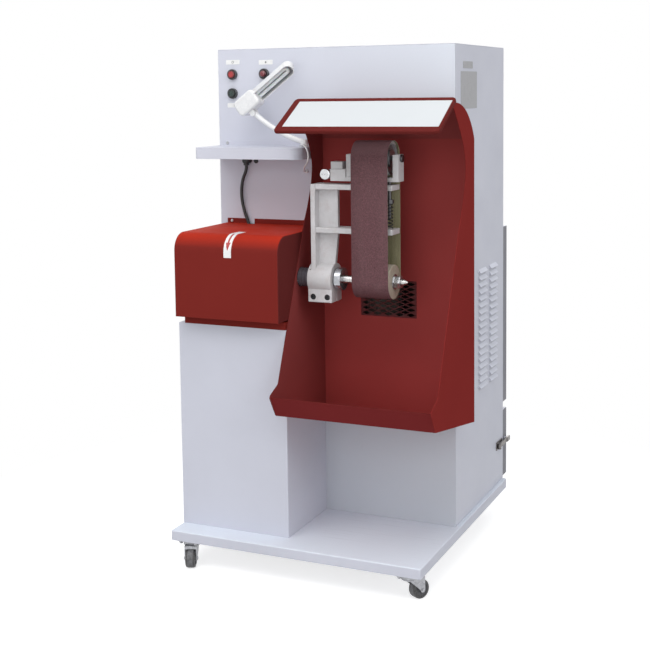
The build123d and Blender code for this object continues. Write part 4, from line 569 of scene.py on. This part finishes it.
def laid_strip(name, outline, low, high, finish):
    work = bmesh.new()
    rows = []
    for distance, left, right in outline:
        row = []
        for x, lift in ((left, low), (left, high), (right, high), (right, low)):
            y, z = over_the_bend(distance, lift)
            row.append(work.verts.new((x, y, z)))
        rows.append(row)
    closed_skin(work, rows)
    return made_of(work, name, [finish], 30)


def printed_film(name, colour):
    return mottled(
        name, [toned(colour, 0.93), colour], (130, 4, 0.6),
        ((90, 2), 0.28, 0.4), ((520, 2), 0.06, 0.0003),
        stain_and_shade=((40, 5, 0.7), 0.2, 0.55, 0.75, toned(colour, 0.6)),
    )


white_film = printed_film("white_film", (0.86, 0.86, 0.85))
arrow_red = printed_film("arrow_red", (0.42, 0.035, 0.03))
strip_length, strip_half, film = 0.1255, 0.011, 0.0003
steps = [strip_length * k / 40 for k in range(41)]
arrow_x, shaft_start, head_start, arrow_end = -0.201, 0.045, 0.085, 0.108
outline = [(d, arrow_x - strip_half, arrow_x + strip_half) for d in steps]
strip = laid_strip("direction_strip", outline, 0.0, film, white_film)
widths = [(shaft_start + (head_start - shaft_start) * k / 20, 0.0025) for k in range(21)]
widths += [(head_start + (arrow_end - head_start) * k / 12, 0.0072 * (1 - k / 12)) for k in range(12)]
widths.append((arrow_end, 0.00005))
outline = [(distance, arrow_x - half, arrow_x + half) for distance, half in widths]
arrow = laid_strip("direction_arrow", outline, film, 0.0005, arrow_red)
for piece, slot in ((strip, "visor_white"), (arrow, "red_paint")):
    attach(piece, "cabinet")

# Spindle: a chromed quill bolted to the motor, with a collar, and in it the turned shaft with
# its shoulder, hexagon nut and pointed end. The collar is coloured dark blue-grey as a painted
# reflection of dark surroundings in its chrome.
spindle_axis = (0.0, -0.2379, 0.779)
collar_start, collar_end = -0.0545, -0.019


def off_the_axis(place, middle):
    parts = coordinates(stretched(place, (1, 1, 1), move=tuple(-c for c in middle)))
    flat = tree_node(place, "ShaderNodeCombineXYZ", {"Y": parts["Y"], "Z": parts["Z"]}).outputs["Vector"]
    radius = tree_node(place, "ShaderNodeVectorMath", {0: flat}, operation="LENGTH").outputs["Value"]
    return parts["X"], radius


def tool_rings(path, scale, detail):
    inputs = {"W": path, "Scale": scale, "Detail": detail}
    return tree_node(path, "ShaderNodeTexNoise", inputs, noise_dimensions="1D").outputs["Fac"]


def turned_steel(name, colour, gloss, axis_point, rings, metal=1.0):
    finish, place = new_finish(name)
    cuts = tool_rings(worked("ADD", *off_the_axis(place, axis_point)), rings, 3)
    tone = tint(between(cuts), toned(colour, 0.84), colour)
    tone = stained(tone, place, (48, 5, 0.7), 0.4, 0.5, 0.75, toned(colour, 0.68))
    shade(tone, between(cuts, gloss - 0.04, gloss + 0.1), relief(cuts, 0.12, 0.0002), {"Metallic": metal})
    return finish


chrome = turned_steel("chromed_quill", (0.50, 0.51, 0.545), 0.12, spindle_axis, 900, 0.85)
nut_steel = turned_steel("plated_nut", (0.46, 0.465, 0.48), 0.20, spindle_axis, 900, 0.9)
shaft_steel = turned_steel("ground_shaft", (0.62, 0.61, 0.60), 0.24, spindle_axis, 2200)
quill = broken_edges("spindle_quill", chrome, 0.0009, 3)
# Dark blue-grey collar: painted reflection on the chrome.
collar_reflection_steel = turned_steel("collar_painted_reflection", (0.15, 0.152, 0.175), 0.20, spindle_axis, 900, 0.5)
recoat(quill, collar_reflection_steel, lambda face: collar_start < face.center.x < collar_end)
broken_edges("spindle_shaft", shaft_steel, 0.0006)
broken_edges("spindle_nut", nut_steel, 0.0010, 3)

# Drive wheel: cream polyurethane cast on the shaft's sleeve and ground true, with fine rings
# on its faces and a little grinding dust.
wheel_cream, place = new_finish("drive_wheel_cream")
rings = tool_rings(off_the_axis(place, spindle_axis)[1], 1300, 2)
cream = tint(between(rings), (0.40, 0.35, 0.27), (0.50, 0.45, 0.36))
cream = stained(cream, place, (55, 6, 0.7), 0.55, 0.46, 0.75, (0.24, 0.19, 0.16))
shade(cream, patches(place, (150, 3), 0.5, 0.7), relief(rings, 0.25, 0.0003))
broken_edges("drive_wheel", wheel_cream, 0.0018, 3)

# Belt arm and tension yoke: painted iron castings with rounded edges and a faint sand-mould
# grain. The arm clamps round the quill with two socket screws; the yoke slides on its rods.
cast_paint, place = new_finish("casting_paint")
sandy = mottle(place, 520, 4, 0.65)
chalk = tint(patches(place, (14, 5, 0.6)), (0.51, 0.50, 0.505), (0.60, 0.585, 0.595))
pits = between(sandy, 0.0, 0.35, 0.62, 0.78)
chalk = tint(pits, chalk, (0.33, 0.31, 0.29))
chalk = stained(chalk, place, (42, 6, 0.72), 0.4, 0.5, 0.76, (0.36, 0.27, 0.25))
lumpy = relief(mottle(place, 90, 3), 0.12, 0.0015)
shade(chalk, patches(place, (75, 3), 0.42, 0.6), relief(sandy, 0.3, 0.0005, lumpy))
broken_edges("belt_arm", cast_paint, 0.0016, 3)
broken_edges("tension_yoke", cast_paint, 0.0014, 3)
black_oxide = mottled(
    "black_oxide", [(0.018, 0.018, 0.02), (0.045, 0.045, 0.05)], (320, 4),
    ((120, 3), 0.32, 0.5), ((1200, 2), 0.12, 0.0002), more={"Metallic": 0.6},
)
broken_edges("arm_bolts", black_oxide, 0.0005)
drawn_steel = bright_bar("drawn_steel", (0.13, 0.13, 0.137), 0.34)
broken_edges("yoke_pins", drawn_steel, 0.0005)
springs = broken_edges("tension_springs", black_oxide, 0.0)
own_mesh(springs)
broken_edges("tracking_knob", bright_steel, 0.0005)

# Idler wheel: a turned aluminium wheel with recessed hub faces and a paler, brushed rim. It
# runs free on the yoke's axle.
idler_axis = (0.0, -0.2379, 1.095442)
rim_start = 0.036
idler_alloy = turned_steel("turned_alloy", (0.42, 0.43, 0.45), 0.34, idler_axis, 1500)
idler = broken_edges("idler_wheel", idler_alloy, 0.0008)
rim_alloy = turned_steel("turned_rim", (0.62, 0.62, 0.63), 0.42, idler_axis, 1500, 0.3)
recoat(idler, rim_alloy, lambda face: (face.center.yz - Vector(idler_axis[1:])).length > rim_start)

# Sanding belt: aluminium-oxide grit on olive twill, 100 by 915 mm, joined by a slanting
# taped splice at the back and pulled tight round the two wheels.
belt_left, belt_right = 0.110, 0.210
belt_y, low_z, high_z = -0.237898, 0.779, 1.095442
belt_inside, belt_core, belt_outside = 0.0443, 0.0449, 0.0455
run = high_z - low_z
half_turn = math.pi * belt_core
belt_round = 2 * (run + half_turn)


def on_the_belt(distance, radius):
    if distance < run:
        return (belt_y - radius, low_z + distance)
    if distance < run + half_turn:
        angle = (distance - run) / belt_core
        return (belt_y - radius * math.cos(angle), high_z + radius * math.sin(angle))
    if distance < 2 * run + half_turn:
        return (belt_y + radius, high_z - (distance - run - half_turn))
    angle = (distance - 2 * run - half_turn) / belt_core
    return (belt_y + radius * math.cos(angle), low_z - radius * math.sin(angle))


stops = [run * k / 24 for k in range(24)] + [run + half_turn * k / 40 for k in range(40)]
stops += [belt_round / 2 + stop for stop in stops]
section = [
    (belt_left + 0.0003, belt_outside), (belt_left + 0.034, belt_outside),
    (belt_left + 0.067, belt_outside), (belt_right - 0.0003, belt_outside),
    (belt_right, belt_outside - 0.0003), (belt_right, belt_inside + 0.0002),
    (belt_right - 0.0002, belt_inside), (belt_left + 0.0002, belt_inside),
    (belt_left, belt_inside + 0.0002), (belt_left, belt_outside - 0.0003),
]
work = bmesh.new()
strip_map = work.loops.layers.uv.new("strip")
rows = []
for stop in stops:
    row = []
    for x, radius in section:
        y, z = on_the_belt(stop, radius)
        row.append(work.verts.new((x, y, z)))
    rows.append(row)
for index, near in enumerate(rows):
    far = rows[(index + 1) % len(rows)]
    start, end = stops[index], stops[index + 1] if index + 1 < len(stops) else belt_round
    for k in range(len(section)):
        j = (k + 1) % len(section)
        face = work.faces.new((near[k], near[j], far[j], far[k]))
        inner = max(section[k][1], section[j][1]) < belt_core - 0.0002
        rim = section[k][0] == section[j][0]
        face.material_index = 2 if rim else 1 if inner else 0
        for loop, (column, along) in zip(face.loops, ((k, start), (j, start), (j, end), (k, end))):
            loop[strip_map].uv = (section[column][0], along)

grit, place = new_finish("belt_grit")
strip_place = tree_node(place, "ShaderNodeUVMap", uv_map="strip").outputs["UV"]
grains = tree_node(place, "ShaderNodeTexVoronoi", {"Vector": place, "Scale": 800}).outputs
tone = tree_node(place, "ShaderNodeSeparateColor", {"Color": grains["Color"]}).outputs["Red"]
mauve = tint(tone, (0.072, 0.028, 0.033), (0.183, 0.082, 0.0925))
mauve = stained(mauve, place, (330, 4, 0.7), 0.55, 0.44, 0.66, (0.064, 0.025, 0.028))
# Scattered lighter grains: painted glints.
mauve = stained(mauve, place, (900, 1), 0.6, 0.64, 0.74, (0.31, 0.17, 0.178))
mauve = stained(mauve, stretched(strip_place, (26, 3, 1.0)), (1.0, 3), 0.3, 0.45, 0.7, (0.145, 0.078, 0.081))
# Upward-facing grit is tinted lighter: painted light from above.
mauve = tint(times(facing_up(place, 0.15, 0.95), 0.6), mauve, (0.36, 0.20, 0.215))
along = coordinates(strip_place)
slant = worked("ADD", times(along["X"], 0.7), along["Y"])
off = worked("ABSOLUTE", worked("SUBTRACT", slant, 0.735))
splice = between(off, 0.75, 0.0, 0.0007, 0.0014)
mauve = tint(splice, mauve, (0.045, 0.03, 0.03))
shade(
    mauve, between(tone, 0.62, 0.92, 0.0, 1.0),
    relief(grains["Distance"], 0.75, 0.0006), {"Specular IOR Level": 0.35},
)
twill, place = new_finish("belt_twill")
strip_place = tree_node(place, "ShaderNodeUVMap", uv_map="strip").outputs["UV"]
weave = {
    "Vector": stretched(strip_place, (1, 1, 1), (0, 0, 0.9)), "Scale": 360,
    "Distortion": 1.2, "Detail": 2, "Detail Scale": 3,
}
ribs = tree_node(place, "ShaderNodeTexWave", weave, bands_direction="X").outputs["Fac"]
olive = tint(ribs, (0.135, 0.125, 0.062), (0.25, 0.235, 0.128))
olive = stained(olive, stretched(strip_place, (160, 6, 1.0)), (1.0, 4), 0.6, 0.4, 0.7, (0.30, 0.27, 0.17))
shade(olive, 0.88, relief(ribs, 0.35, 0.0004), {"Sheen Weight": 0.2})
cut_edge, place = new_finish("belt_cut_edge")
threads = mottle(place, 900, 3)
shade(tint(between(threads), (0.26, 0.21, 0.17), (0.46, 0.41, 0.35)), 0.9, relief(threads, 0.4, 0.0003))
belt = made_of(work, "sanding_belt_loop", [grit, twill, cut_edge], 50)
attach(belt, "belt_arm")
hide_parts("sanding_belt")

# Dust hood: red-coated sheet pan, two profiled cheeks and a rolled roof, welded together
# and to the cabinet. Sanding dust lies on the pan's sloping floor. Its faces wear lighter and
# darker copies of the one red, as painted light and shade.
sanding_dust = (0.60, 0.13, 0.085)
lip_y, floor_area = -0.36, 0.005
# The pan wears a lighter copy of the red than the cover: painted light inside the hood, with real sanding
# dust on its upward faces.
hood_coat = powder_coat("red_hood_coat", (0.345, 0.055, 0.052), 0.50, dust=sanding_dust, shine=0.02)
# A darker copy of the red for the roof, visor frame, rims and edges: painted shade.
rim_coat = powder_coat("red_rim_coat", (0.135, 0.0205, 0.0185), 0.50, shine=0.01)
lip_coat = powder_coat("red_lip_coat", (0.18, 0.0225, 0.023), 0.50, shine=0.01)
pan = broken_edges("hood_pan", hood_coat, 0.0)
recoat(pan, lip_coat, lambda face: face.normal.y < -0.3 and face.center.y < lip_y)
# The pan's floor wears the lightest copy of the red: painted light from above, with sanding dust on it.
floor_coat = powder_coat("red_floor_coat", (0.45, 0.066, 0.055), 0.50, dust=sanding_dust, shine=0.01)
recoat(pan, floor_coat, lambda face: face.normal.z > 0.5 and face.area > floor_area)
recoat(pan, rim_coat, lambda face: face.normal.z > 0.5 and face.area <= floor_area)
# The cheeks wear a lighter copy of the red than the cover: painted light.
cheek_coat = powder_coat("red_cheek_coat", (0.243, 0.0295, 0.0265), 0.50, shine=0.0)
# A lighter copy of the red for the roof's underside and the left cheek's inner face: painted light.
inner_coat = powder_coat("red_inner_coat", (0.27, 0.055, 0.053), 0.55, shine=0.01)
left_cheek = broken_edges("hood_left_cheek", cheek_coat, 0.0006, 3)
recoat(left_cheek, inner_coat, lambda face: face.normal.x > 0.9)
recoat(left_cheek, rim_coat, lambda face: abs(face.normal.x) < 0.5)
broken_edges("hood_right_cheek", cheek_coat, 0.0006, 3)
roof = broken_edges("hood_roof", rim_coat, 0.0)
recoat(roof, inner_coat, lambda face: face.normal.z < 0)

# Visor: a red frame with rounded outer edges welded on top of the hood, and let into it a
# satin white panel that throws light down on the belt.
pitch = math.radians(29.8)
slope = Vector((0, -math.cos(pitch), -math.sin(pitch)))
visor_top = Vector((0.1555, -0.232898, 1.249))
outward = Vector((0, -math.sin(pitch), math.cos(pitch)))
frame_back, frame_front, frame_side, frame_under = 0.0075, 0.1535, 0.2130, -0.0095


def outer_visor_edge(line):
    ends = [v.co - visor_top for v in line.verts]
    downhill = [end.dot(slope) for end in ends]
    under = all(end.dot(outward) < frame_under for end in ends)
    front = all(d > frame_front for d in downhill)
    rim = front or all(d < frame_back for d in downhill)
    rim = rim or all(abs(end.x) > frame_side for end in ends)
    return rim and (front or not under)


broken_edges("visor_frame", rim_coat, 0.0026, 4, chosen=outer_visor_edge)
visor_white = mottled(
    "visor_white", [(0.612, 0.637, 0.652), (0.625, 0.65, 0.665)], (5, 4),
    ((18, 4), 0.42, 0.46), ((240, 2), 0.01, 0.0003),
    stain_and_shade=((24, 6, 0.7), 0.02, 0.5, 0.75, (0.54, 0.53, 0.52)),
)
broken_edges("visor_panel", visor_white, 0.0006)

# Suction grille: expanded metal in the hood's red over the opening in its back, dulled by the
# dust that is drawn through it.
grille_coat = mottled(
    "grille_red_coat", [(0.069, 0.0126, 0.014), (0.11, 0.019, 0.0205)], (85, 5, 0.65),
    ((110, 3), 0.5, 0.72), ((700, 3), 0.25, 0.0003),
    stain_and_shade=((34, 5, 0.7), 0.5, 0.5, 0.72, (0.08, 0.04, 0.04)), more={"Specular IOR Level": 0.2},
)
broken_edges("suction_grille", grille_coat, 0.0002, 1)

# Tool shelf: a folded tray turned upside down in the cabinet's coat, with rounded corners,
# screwed on through its upturned flange. Tools have dulled its top.
shelf_coat = powder_coat("pale_shelf_coat", pale, 0.42, scuffs=0.25)
broken_edges("tool_shelf", shelf_coat, 0.0005, 3)


def cross_head(tree, radius, height):
    top, bottom = Vector((0.7, 1.0)) * radius
    sizes = {"Radius Top": top, "Radius Bottom": bottom, "Depth": height}
    dome = tree_node(tree, "GeometryNodeMeshCone", {"Vertices": 36, "Side Segments": 3, **sizes})
    inputs = {"Mesh 1": dome.outputs["Mesh"]}
    cut = tree_node(tree, "GeometryNodeMeshBoolean", inputs, operation="DIFFERENCE")
    lift = Vector((0, 0, height))
    slot = Vector((1.1, 0.26, 0)) * radius + lift
    for size in (slot, slot.yxz):
        bar = tree_node(tree, "GeometryNodeMeshCube", {"Size": size}).outputs["Mesh"]
        raised = tree_node(tree, "GeometryNodeTransform", {"Geometry": bar, "Translation": lift})
        tree.links.new(raised.outputs["Geometry"], cut.inputs["Mesh 2"])
    return cut.outputs["Mesh"]


screw_zinc = zinc_plate("screw_zinc", (0.60, 0.605, 0.62), 170, 0.10)
panel_y = -0.087898
flange_front = panel_y - 0.002
screw_places = ((-0.339, 0.905), (-0.105, 0.905), (-0.349, 1.125), (-0.089, 1.125))
screw_spots = [(x, flange_front, z) for x, z in screw_places]
panel_screws = fastener_row(
    "panel_screw_heads", cross_head, screw_spots, (math.pi / 2, 0.35, 0), 0.0047, 0.0031, screw_zinc
)
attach(panel_screws, "cabinet")
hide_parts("panel_screws")

# Controls: 22 mm push buttons in dark moulded bezels, a red stop, a green start and a red
# pilot lens, each with a small white legend strip that carries only its plain mark.


def moulding(name, deep, light, gloss, clear=0.0, middle=None):
    finish, place = new_finish(name)
    tone = tint(patches(place, (160, 4, 0.6)), deep, light)
    if middle is not None:
        flat = stretched(place, (1, 0, 1), move=(-middle.x, 0, -middle.z))
        out = tree_node(place, "ShaderNodeVectorMath", {0: flat}, operation="LENGTH").outputs["Value"]
        tone = tint(between(out, 0.0, 0.9, 0.0058, 0.0092), tone, toned(deep, 0.25))
    tone = stained(tone, place, (420, 3), 0.25, 0.55, 0.75, toned(deep, 0.6))
    shade(
        tone, patches(place, (240, 3), gloss - 0.04, gloss + 0.08),
        relief(mottle(place, 1500, 2), 0.07, 0.0002), {"Coat Weight": clear, "Coat Roughness": 0.08},
    )
    return finish


bezel_dark = moulding("bezel_moulding", (0.035, 0.036, 0.04), (0.06, 0.062, 0.066), 0.32)
broken_edges("button_bezels", bezel_dark, 0.0012, 3)
caps = {
    "stop_button": ("stop_red", (0.34, 0.022, 0.026), (0.45, 0.04, 0.042), 0.26, 0.3),
    "start_button": ("start_green", (0.014, 0.03, 0.026), (0.022, 0.048, 0.04), 0.26, 0.3),
    "pilot_lens": ("pilot_red", (0.14, 0.010, 0.018), (0.21, 0.018, 0.03), 0.14, 0.6),
}
for name, look in caps.items():
    low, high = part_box(name)
    broken_edges(name, moulding(*look, (low + high) / 2), 0.0004 if "button" in name else 0.0)


def rounded_plate(work, middle, across, up, size, corner, thickness, sides=6):
    normal = across.cross(up)
    ring = []
    for sx, sy, start in ((1, 1, 0), (-1, 1, 90), (-1, -1, 180), (1, -1, 270)):
        for k in range(sides + 1):
            angle = math.radians(start + 90 * k / sides)
            x = sx * (size[0] / 2 - corner) + corner * math.cos(angle)
            y = sy * (size[1] / 2 - corner) + corner * math.sin(angle)
            ring.append(middle + across * x + up * y)
    edge = min(0.3 * thickness, 0.0003)
    loops = []
    for lift, inset in ((0, 0), (thickness - edge, 0), (thickness, edge)):
        loops.append([work.verts.new(p + normal * lift + (middle - p).normalized() * inset) for p in ring])
    closed_skin(work, loops)


right_way, up_way = Vector((1, 0, 0)), Vector((0, 0, 1))
strip_thick, mark_thick = 0.0006, 0.0002
legend_spots = {"stop": (-0.3288, 1.3513), "pilot": (-0.2252, 1.3491), "start": (-0.3264, 1.2309)}
work = bmesh.new()
for x, z in legend_spots.values():
    rounded_plate(work, Vector((x, panel_y, z)), right_way, up_way, (0.043, 0.0125), 0.002, strip_thick)
legends = made_of(work, "legend_strips", [white_film], 30)
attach(legends, "cabinet")
mark_grey = printed_film("mark_grey", (0.16, 0.16, 0.17))
mark_y = panel_y - strip_thick
x, z = legend_spots["stop"]
ring_profile = [(0.0, 0.0026), (mark_thick, 0.0026), (mark_thick, 0.0036), (0.0, 0.0036)]
work = turned(ring_profile, (x, mark_y, z), (0, -1, 0), 40, closed=True)
plain_marks = {"start": ((0.0011, 0.0075), 0.0003, 2), "pilot": ((0.005, 0.005), 0.0025, 6)}
for key, (size, round_by, sides) in plain_marks.items():
    x, z = legend_spots[key]
    rounded_plate(work, Vector((x, mark_y, z)), right_way, up_way, size, round_by, mark_thick, sides)
marks = made_of(work, "legend_marks", [mark_grey], 30)
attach(marks, "cabinet")

# Lamp: a glossy white work lamp on a bowed arm. Its moulded head has a trough with a bright
# reflector and a twin opal tube, and it swivels on a foot screwed to the shelf.
lamp_white = moulding("lamp_white", (0.76, 0.765, 0.77), (0.82, 0.82, 0.82), 0.20, 0.3)
broken_edges("lamp_base", lamp_white, 0.0008, 3)
broken_edges("lamp_arm", lamp_white, 0.0)
head = broken_edges("lamp_head", lamp_white, 0.0)
reflector = mottled(
    "lamp_reflector", [(0.50, 0.51, 0.53), (0.57, 0.58, 0.60)], (90, 4),
    ((160, 3), 0.34, 0.48), ((420, 2), 0.06, 0.0003), more={"Metallic": 0.3},
)
tilt = math.radians(37.3)
head_middle = Vector((-0.246, -0.149898, 1.238))
length_way = Vector((math.cos(tilt), 0, math.sin(tilt)))
mouth_way = Vector((0.373084, -0.788011, -0.489742))
width_way = mouth_way.cross(length_way)
trough_start, trough_half, trough_floor, trough_mouth = 0.0355, 0.0151, -0.0121, 0.0141


def in_the_trough(face):
    spots = [head.data.vertices[v].co - head_middle for v in face.vertices]
    inside = all(s.dot(length_way) > trough_start and abs(s.dot(width_way)) < trough_half for s in spots)
    return inside and all(trough_floor < s.dot(mouth_way) < trough_mouth for s in spots)


recoat(head, reflector, in_the_trough)
opal = mottled(
    "opal_tube", [(0.80, 0.81, 0.83), (0.88, 0.88, 0.89)], (50, 3),
    ((80, 2), 0.10, 0.18), ((300, 1), 0.02, 0.0002),
    more={"Coat Weight": 0.5, "Subsurface Weight": 0.15},
)
broken_edges("lamp_tube", opal, 0.0)

# Leads: the motor's black cable hangs in a bow from its elbow gland to the notch in the
# cover, and the lamp's thin white lead goes over the shelf's end and back to the panel.


def cable_jacket(name, deep, light, gloss):
    sheen = ((200, 3), gloss - 0.06, gloss + 0.08)
    return mottled(name, [deep, light], (120, 5, 0.65), sheen, ((1300, 3), 0.2, 0.0003))


def lead(name, route, radius, finish):
    line = bpy.data.curves.new(name, "CURVE")
    line.dimensions = "3D"
    spline = line.splines.new("NURBS")
    spline.points.add(len(route) - 1)
    for point, spot in zip(spline.points, route):
        point.co = (*spot, 1.0)
    spline.order_u = 3
    spline.use_endpoint_u = True
    spline.resolution_u = 12
    line.bevel_depth = radius
    line.bevel_resolution = 6
    line.use_fill_caps = True
    line.materials.append(finish)
    piece = add_piece(name, line)
    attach(piece, "cabinet")
    return piece


motor_route = [
    (-0.282, -0.1059, 1.063), (-0.282, -0.1059, 1.049), (-0.29486, -0.1037, 1.0267),
    (-0.30122, -0.1019, 0.997), (-0.30166, -0.1001, 0.9673), (-0.29607, -0.0983, 0.9376),
    (-0.2898, -0.0971, 0.9178), (-0.2825, -0.0959, 0.898), (-0.272, -0.1004, 0.877),
    (-0.2655, -0.1149, 0.862), (-0.2555, -0.1319, 0.859), (-0.248, -0.1479, 0.862),
    (-0.245, -0.1649, 0.864), (-0.245, -0.1789, 0.864),
]
black_jacket = cable_jacket("black_jacket", (0.012, 0.012, 0.013), (0.03, 0.03, 0.032), 0.48)
motor_lead = lead("motor_lead", motor_route, 0.0045, black_jacket)
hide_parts("motor_cable")
lamp_route = [
    (-0.08, -0.1669, 1.1225), (-0.08, -0.1789, 1.1225), (-0.072, -0.1909, 1.125),
    (-0.059, -0.1999, 1.1255), (-0.048, -0.2049, 1.115), (-0.044, -0.2049, 1.1),
    (-0.048, -0.1989, 1.086), (-0.058, -0.1869, 1.075), (-0.072, -0.1699, 1.066),
    (-0.086, -0.1439, 1.056), (-0.095, -0.1249, 1.052), (-0.103, -0.1069, 1.0495),
    (-0.105, -0.0989, 1.049), (-0.105, -0.0919, 1.049),
]
white_jacket = cable_jacket("white_jacket", (0.66, 0.66, 0.66), (0.76, 0.76, 0.755), 0.36)
lamp_lead = lead("lamp_lead", lamp_route, 0.0022, white_jacket)
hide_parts("lamp_cable")

# Glands: black nylon fittings where the leads pass the sheet metal, and a blanking plug in
# the spare hole beside the elbow.
gland_nylon = moulding("gland_nylon", (0.016, 0.016, 0.018), (0.035, 0.035, 0.038), 0.44)
glands = broken_edges("cable_glands", gland_nylon, 0.0012, 3)
grommet, grommet_reach = Vector((-0.105, 1.049)), 0.012
recoat(glands, lamp_white, lambda face: (face.center.xz - grommet).length < grommet_reach)
plug_profile = [
    (0.0, 0.0065), (0.0022, 0.0065), (0.0032, 0.0056), (0.0034, 0.0036), (0.0028, 0.003), (0.0028, 0.0),
]
work = turned(plug_profile, (-0.2600, panel_y, 1.0745), (0, -1, 0), 40)
plug = made_of(work, "blanking_plug", [gland_nylon])
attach(plug, "cabinet")

# Plates on the right side: two blank plates of brushed aluminium sheet, each held to the
# cabinet by dome rivets near its corners or ends.
plate_alloy, place = new_finish("brushed_plate")
brushed = mottle(stretched(place, (40, 60, 2400)), 1.0, 3)
alloy = tint(between(brushed), (0.30, 0.30, 0.315), (0.40, 0.40, 0.415))
alloy = stained(alloy, place, (70, 5, 0.7), 0.4, 0.5, 0.74, (0.24, 0.235, 0.24))
shade(alloy, between(brushed, 0.36, 0.5), relief(brushed, 0.12, 0.0002), {"Metallic": 0.55})
side_x, plate_thick = 0.324, 0.0008
back_way = Vector((0, 1, 0))
plate_spots = {"large": (0.0306, 1.2658, 0.141, 0.099), "small": (0.0214, 1.3326, 0.084, 0.0185)}
work = bmesh.new()
for y, z, long, tall in plate_spots.values():
    rounded_plate(work, Vector((side_x, y, z)), back_way, up_way, (long, tall), 0.003, plate_thick)
plates = made_of(work, "blank_plates", [plate_alloy], 30)
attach(plates, "cabinet")


def rivet_head(tree, radius, height):
    ball = tree_node(tree, "GeometryNodeMeshUVSphere", {"Segments": 20, "Rings": 10, "Radius": radius})
    inputs = {"Geometry": ball.outputs["Mesh"], "Scale": (1, 1, height / radius)}
    return tree_node(tree, "GeometryNodeTransform", inputs).outputs["Geometry"]


rivet_inset, single_row = 0.006, 0.03
rivet_spots = [
    (side_x + plate_thick, y + sy * (long / 2 - rivet_inset), z + sz * (tall / 2 - rivet_inset))
    for y, z, long, tall in plate_spots.values()
    for sy in (-1, 1)
    for sz in ((-1, 1) if tall > single_row else (0,))
]
rivets = fastener_row(
    "plate_rivets", rivet_head, rivet_spots, (0, math.pi / 2, 0), 0.0022, 0.0011, caster_zinc
)
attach(rivets, "cabinet")

# Studio: a pale floor that runs into a white surround, a large soft lamp high in front of
# the hood, others from both sides, the front and behind, and the camera where the
# photographer stood, right of the machine's front and a little above its hood.
floor_mesh = bpy.data.meshes.new("studio_floor")
floor_mesh.from_pydata([(-20, -20, 0), (20, -20, 0), (20, 20, 0), (-20, 20, 0)], [], [(0, 1, 2, 3)])
floor = add_piece("studio_floor", floor_mesh)


def seen_directly(owner):
    path = tree_node(owner, "ShaderNodeLightPath").outputs
    seen = worked("MAXIMUM", path["Is Camera Ray"], path["Is Glossy Ray"])
    return worked("MAXIMUM", seen, path["Is Transmission Ray"])


def light_node(owner, kind, inputs):
    return tree_node(owner, "ShaderNode" + kind, inputs).outputs[0]


floor_white, place = new_finish("studio_floor_white")
lit = light_node(place, "BsdfDiffuse", {"Color": (0.60, 0.60, 0.60, 1)})
glow = light_node(place, "Emission", {"Color": (1, 1, 1, 1), "Strength": 0.70})
near = light_node(place, "AddShader", {0: lit, 1: glow})
far = light_node(place, "Emission", {"Color": (1, 1, 1, 1), "Strength": 1.0})
distance = tree_node(place, "ShaderNodeVectorMath", {0: place}, operation="LENGTH").outputs["Value"]
both = light_node(place, "MixShader", {0: between(distance, 0.0, 1.0, 0.7, 1.3), 1: near, 2: far})
plain = light_node(place, "BsdfDiffuse", {"Color": (0.62, 0.62, 0.62, 1)})
shown = light_node(place, "MixShader", {0: seen_directly(place), 1: plain, 2: both})
tree_node(place, "ShaderNodeOutputMaterial", {"Surface": shown})
floor_mesh.materials.append(floor_white)

surround = bpy.data.worlds.new("studio_surround")
surround.use_nodes = True
tree = surround.node_tree
tree.nodes.clear()
soft = light_node(tree, "Background", {"Color": (0.95, 0.97, 1.0, 1), "Strength": 0.53})
white = light_node(tree, "Background", {"Color": (1, 1, 1, 1), "Strength": 1.0})
shown = light_node(tree, "MixShader", {0: seen_directly(tree), 1: soft, 2: white})
tree_node(tree, "ShaderNodeOutputWorld", {"Surface": shown})
bpy.context.scene.world = surround


def studio_lamp(name, place, aim, size, watts):
    lamp = bpy.data.lights.new(name, "AREA")
    lamp.shape = "SQUARE"
    lamp.size = size
    lamp.energy = watts
    stand = add_piece(name, lamp)
    stand.location = place
    stand.rotation_euler = (Vector(aim) - Vector(place)).to_track_quat("-Z", "Y").to_euler()


studio_lamp("lamp_left", (-2, -3, 4), (0, 0, 0.8), 2, 28)
studio_lamp("lamp_front", (0.3, -4.4, 1.5), (0.1, 0, 0.9), 2.4, 34)
studio_lamp("lamp_right", (3.4, -1.6, 2.6), (0.2, 0, 0.7), 2.2, 35)
studio_lamp("lamp_high", (0.3, -1.7, 3.6), (0, 0, 1.0), 2.4, 45)
studio_lamp("lamp_behind", (-1.0, 4, 2.4), (0, 0, 0.7), 2.4, 40)

camera_data = bpy.data.cameras.new("photo_camera")
camera_data.sensor_fit = "HORIZONTAL"
camera_data.sensor_width = 36
camera_data.lens = 67.28
camera_data.shift_y = -0.1765
camera_data.clip_end = 100
turn, dip, lean = (math.radians(angle) for angle in (24.261, 5.524, -0.695))
ahead = Vector((-math.sin(turn) * math.cos(dip), math.cos(turn) * math.cos(dip), -math.sin(dip)))
level = Vector((math.cos(turn), math.sin(turn), 0))
upright = level.cross(ahead)
right = level * math.cos(lean) + upright * math.sin(lean)
up = upright * math.cos(lean) - level * math.sin(lean)
camera = add_piece("photo_camera", camera_data)
camera.matrix_world = Matrix((
    (right.x, up.x, -ahead.x, 1.3143),
    (right.y, up.y, -ahead.y, -3.11574),
    (right.z, up.z, -ahead.z, 1.26276),
    (0, 0, 0, 1),
))
bpy.context.scene.camera = camera
bpy.context.scene.view_settings.view_transform = "Standard"

bpy.context.view_layer.update()
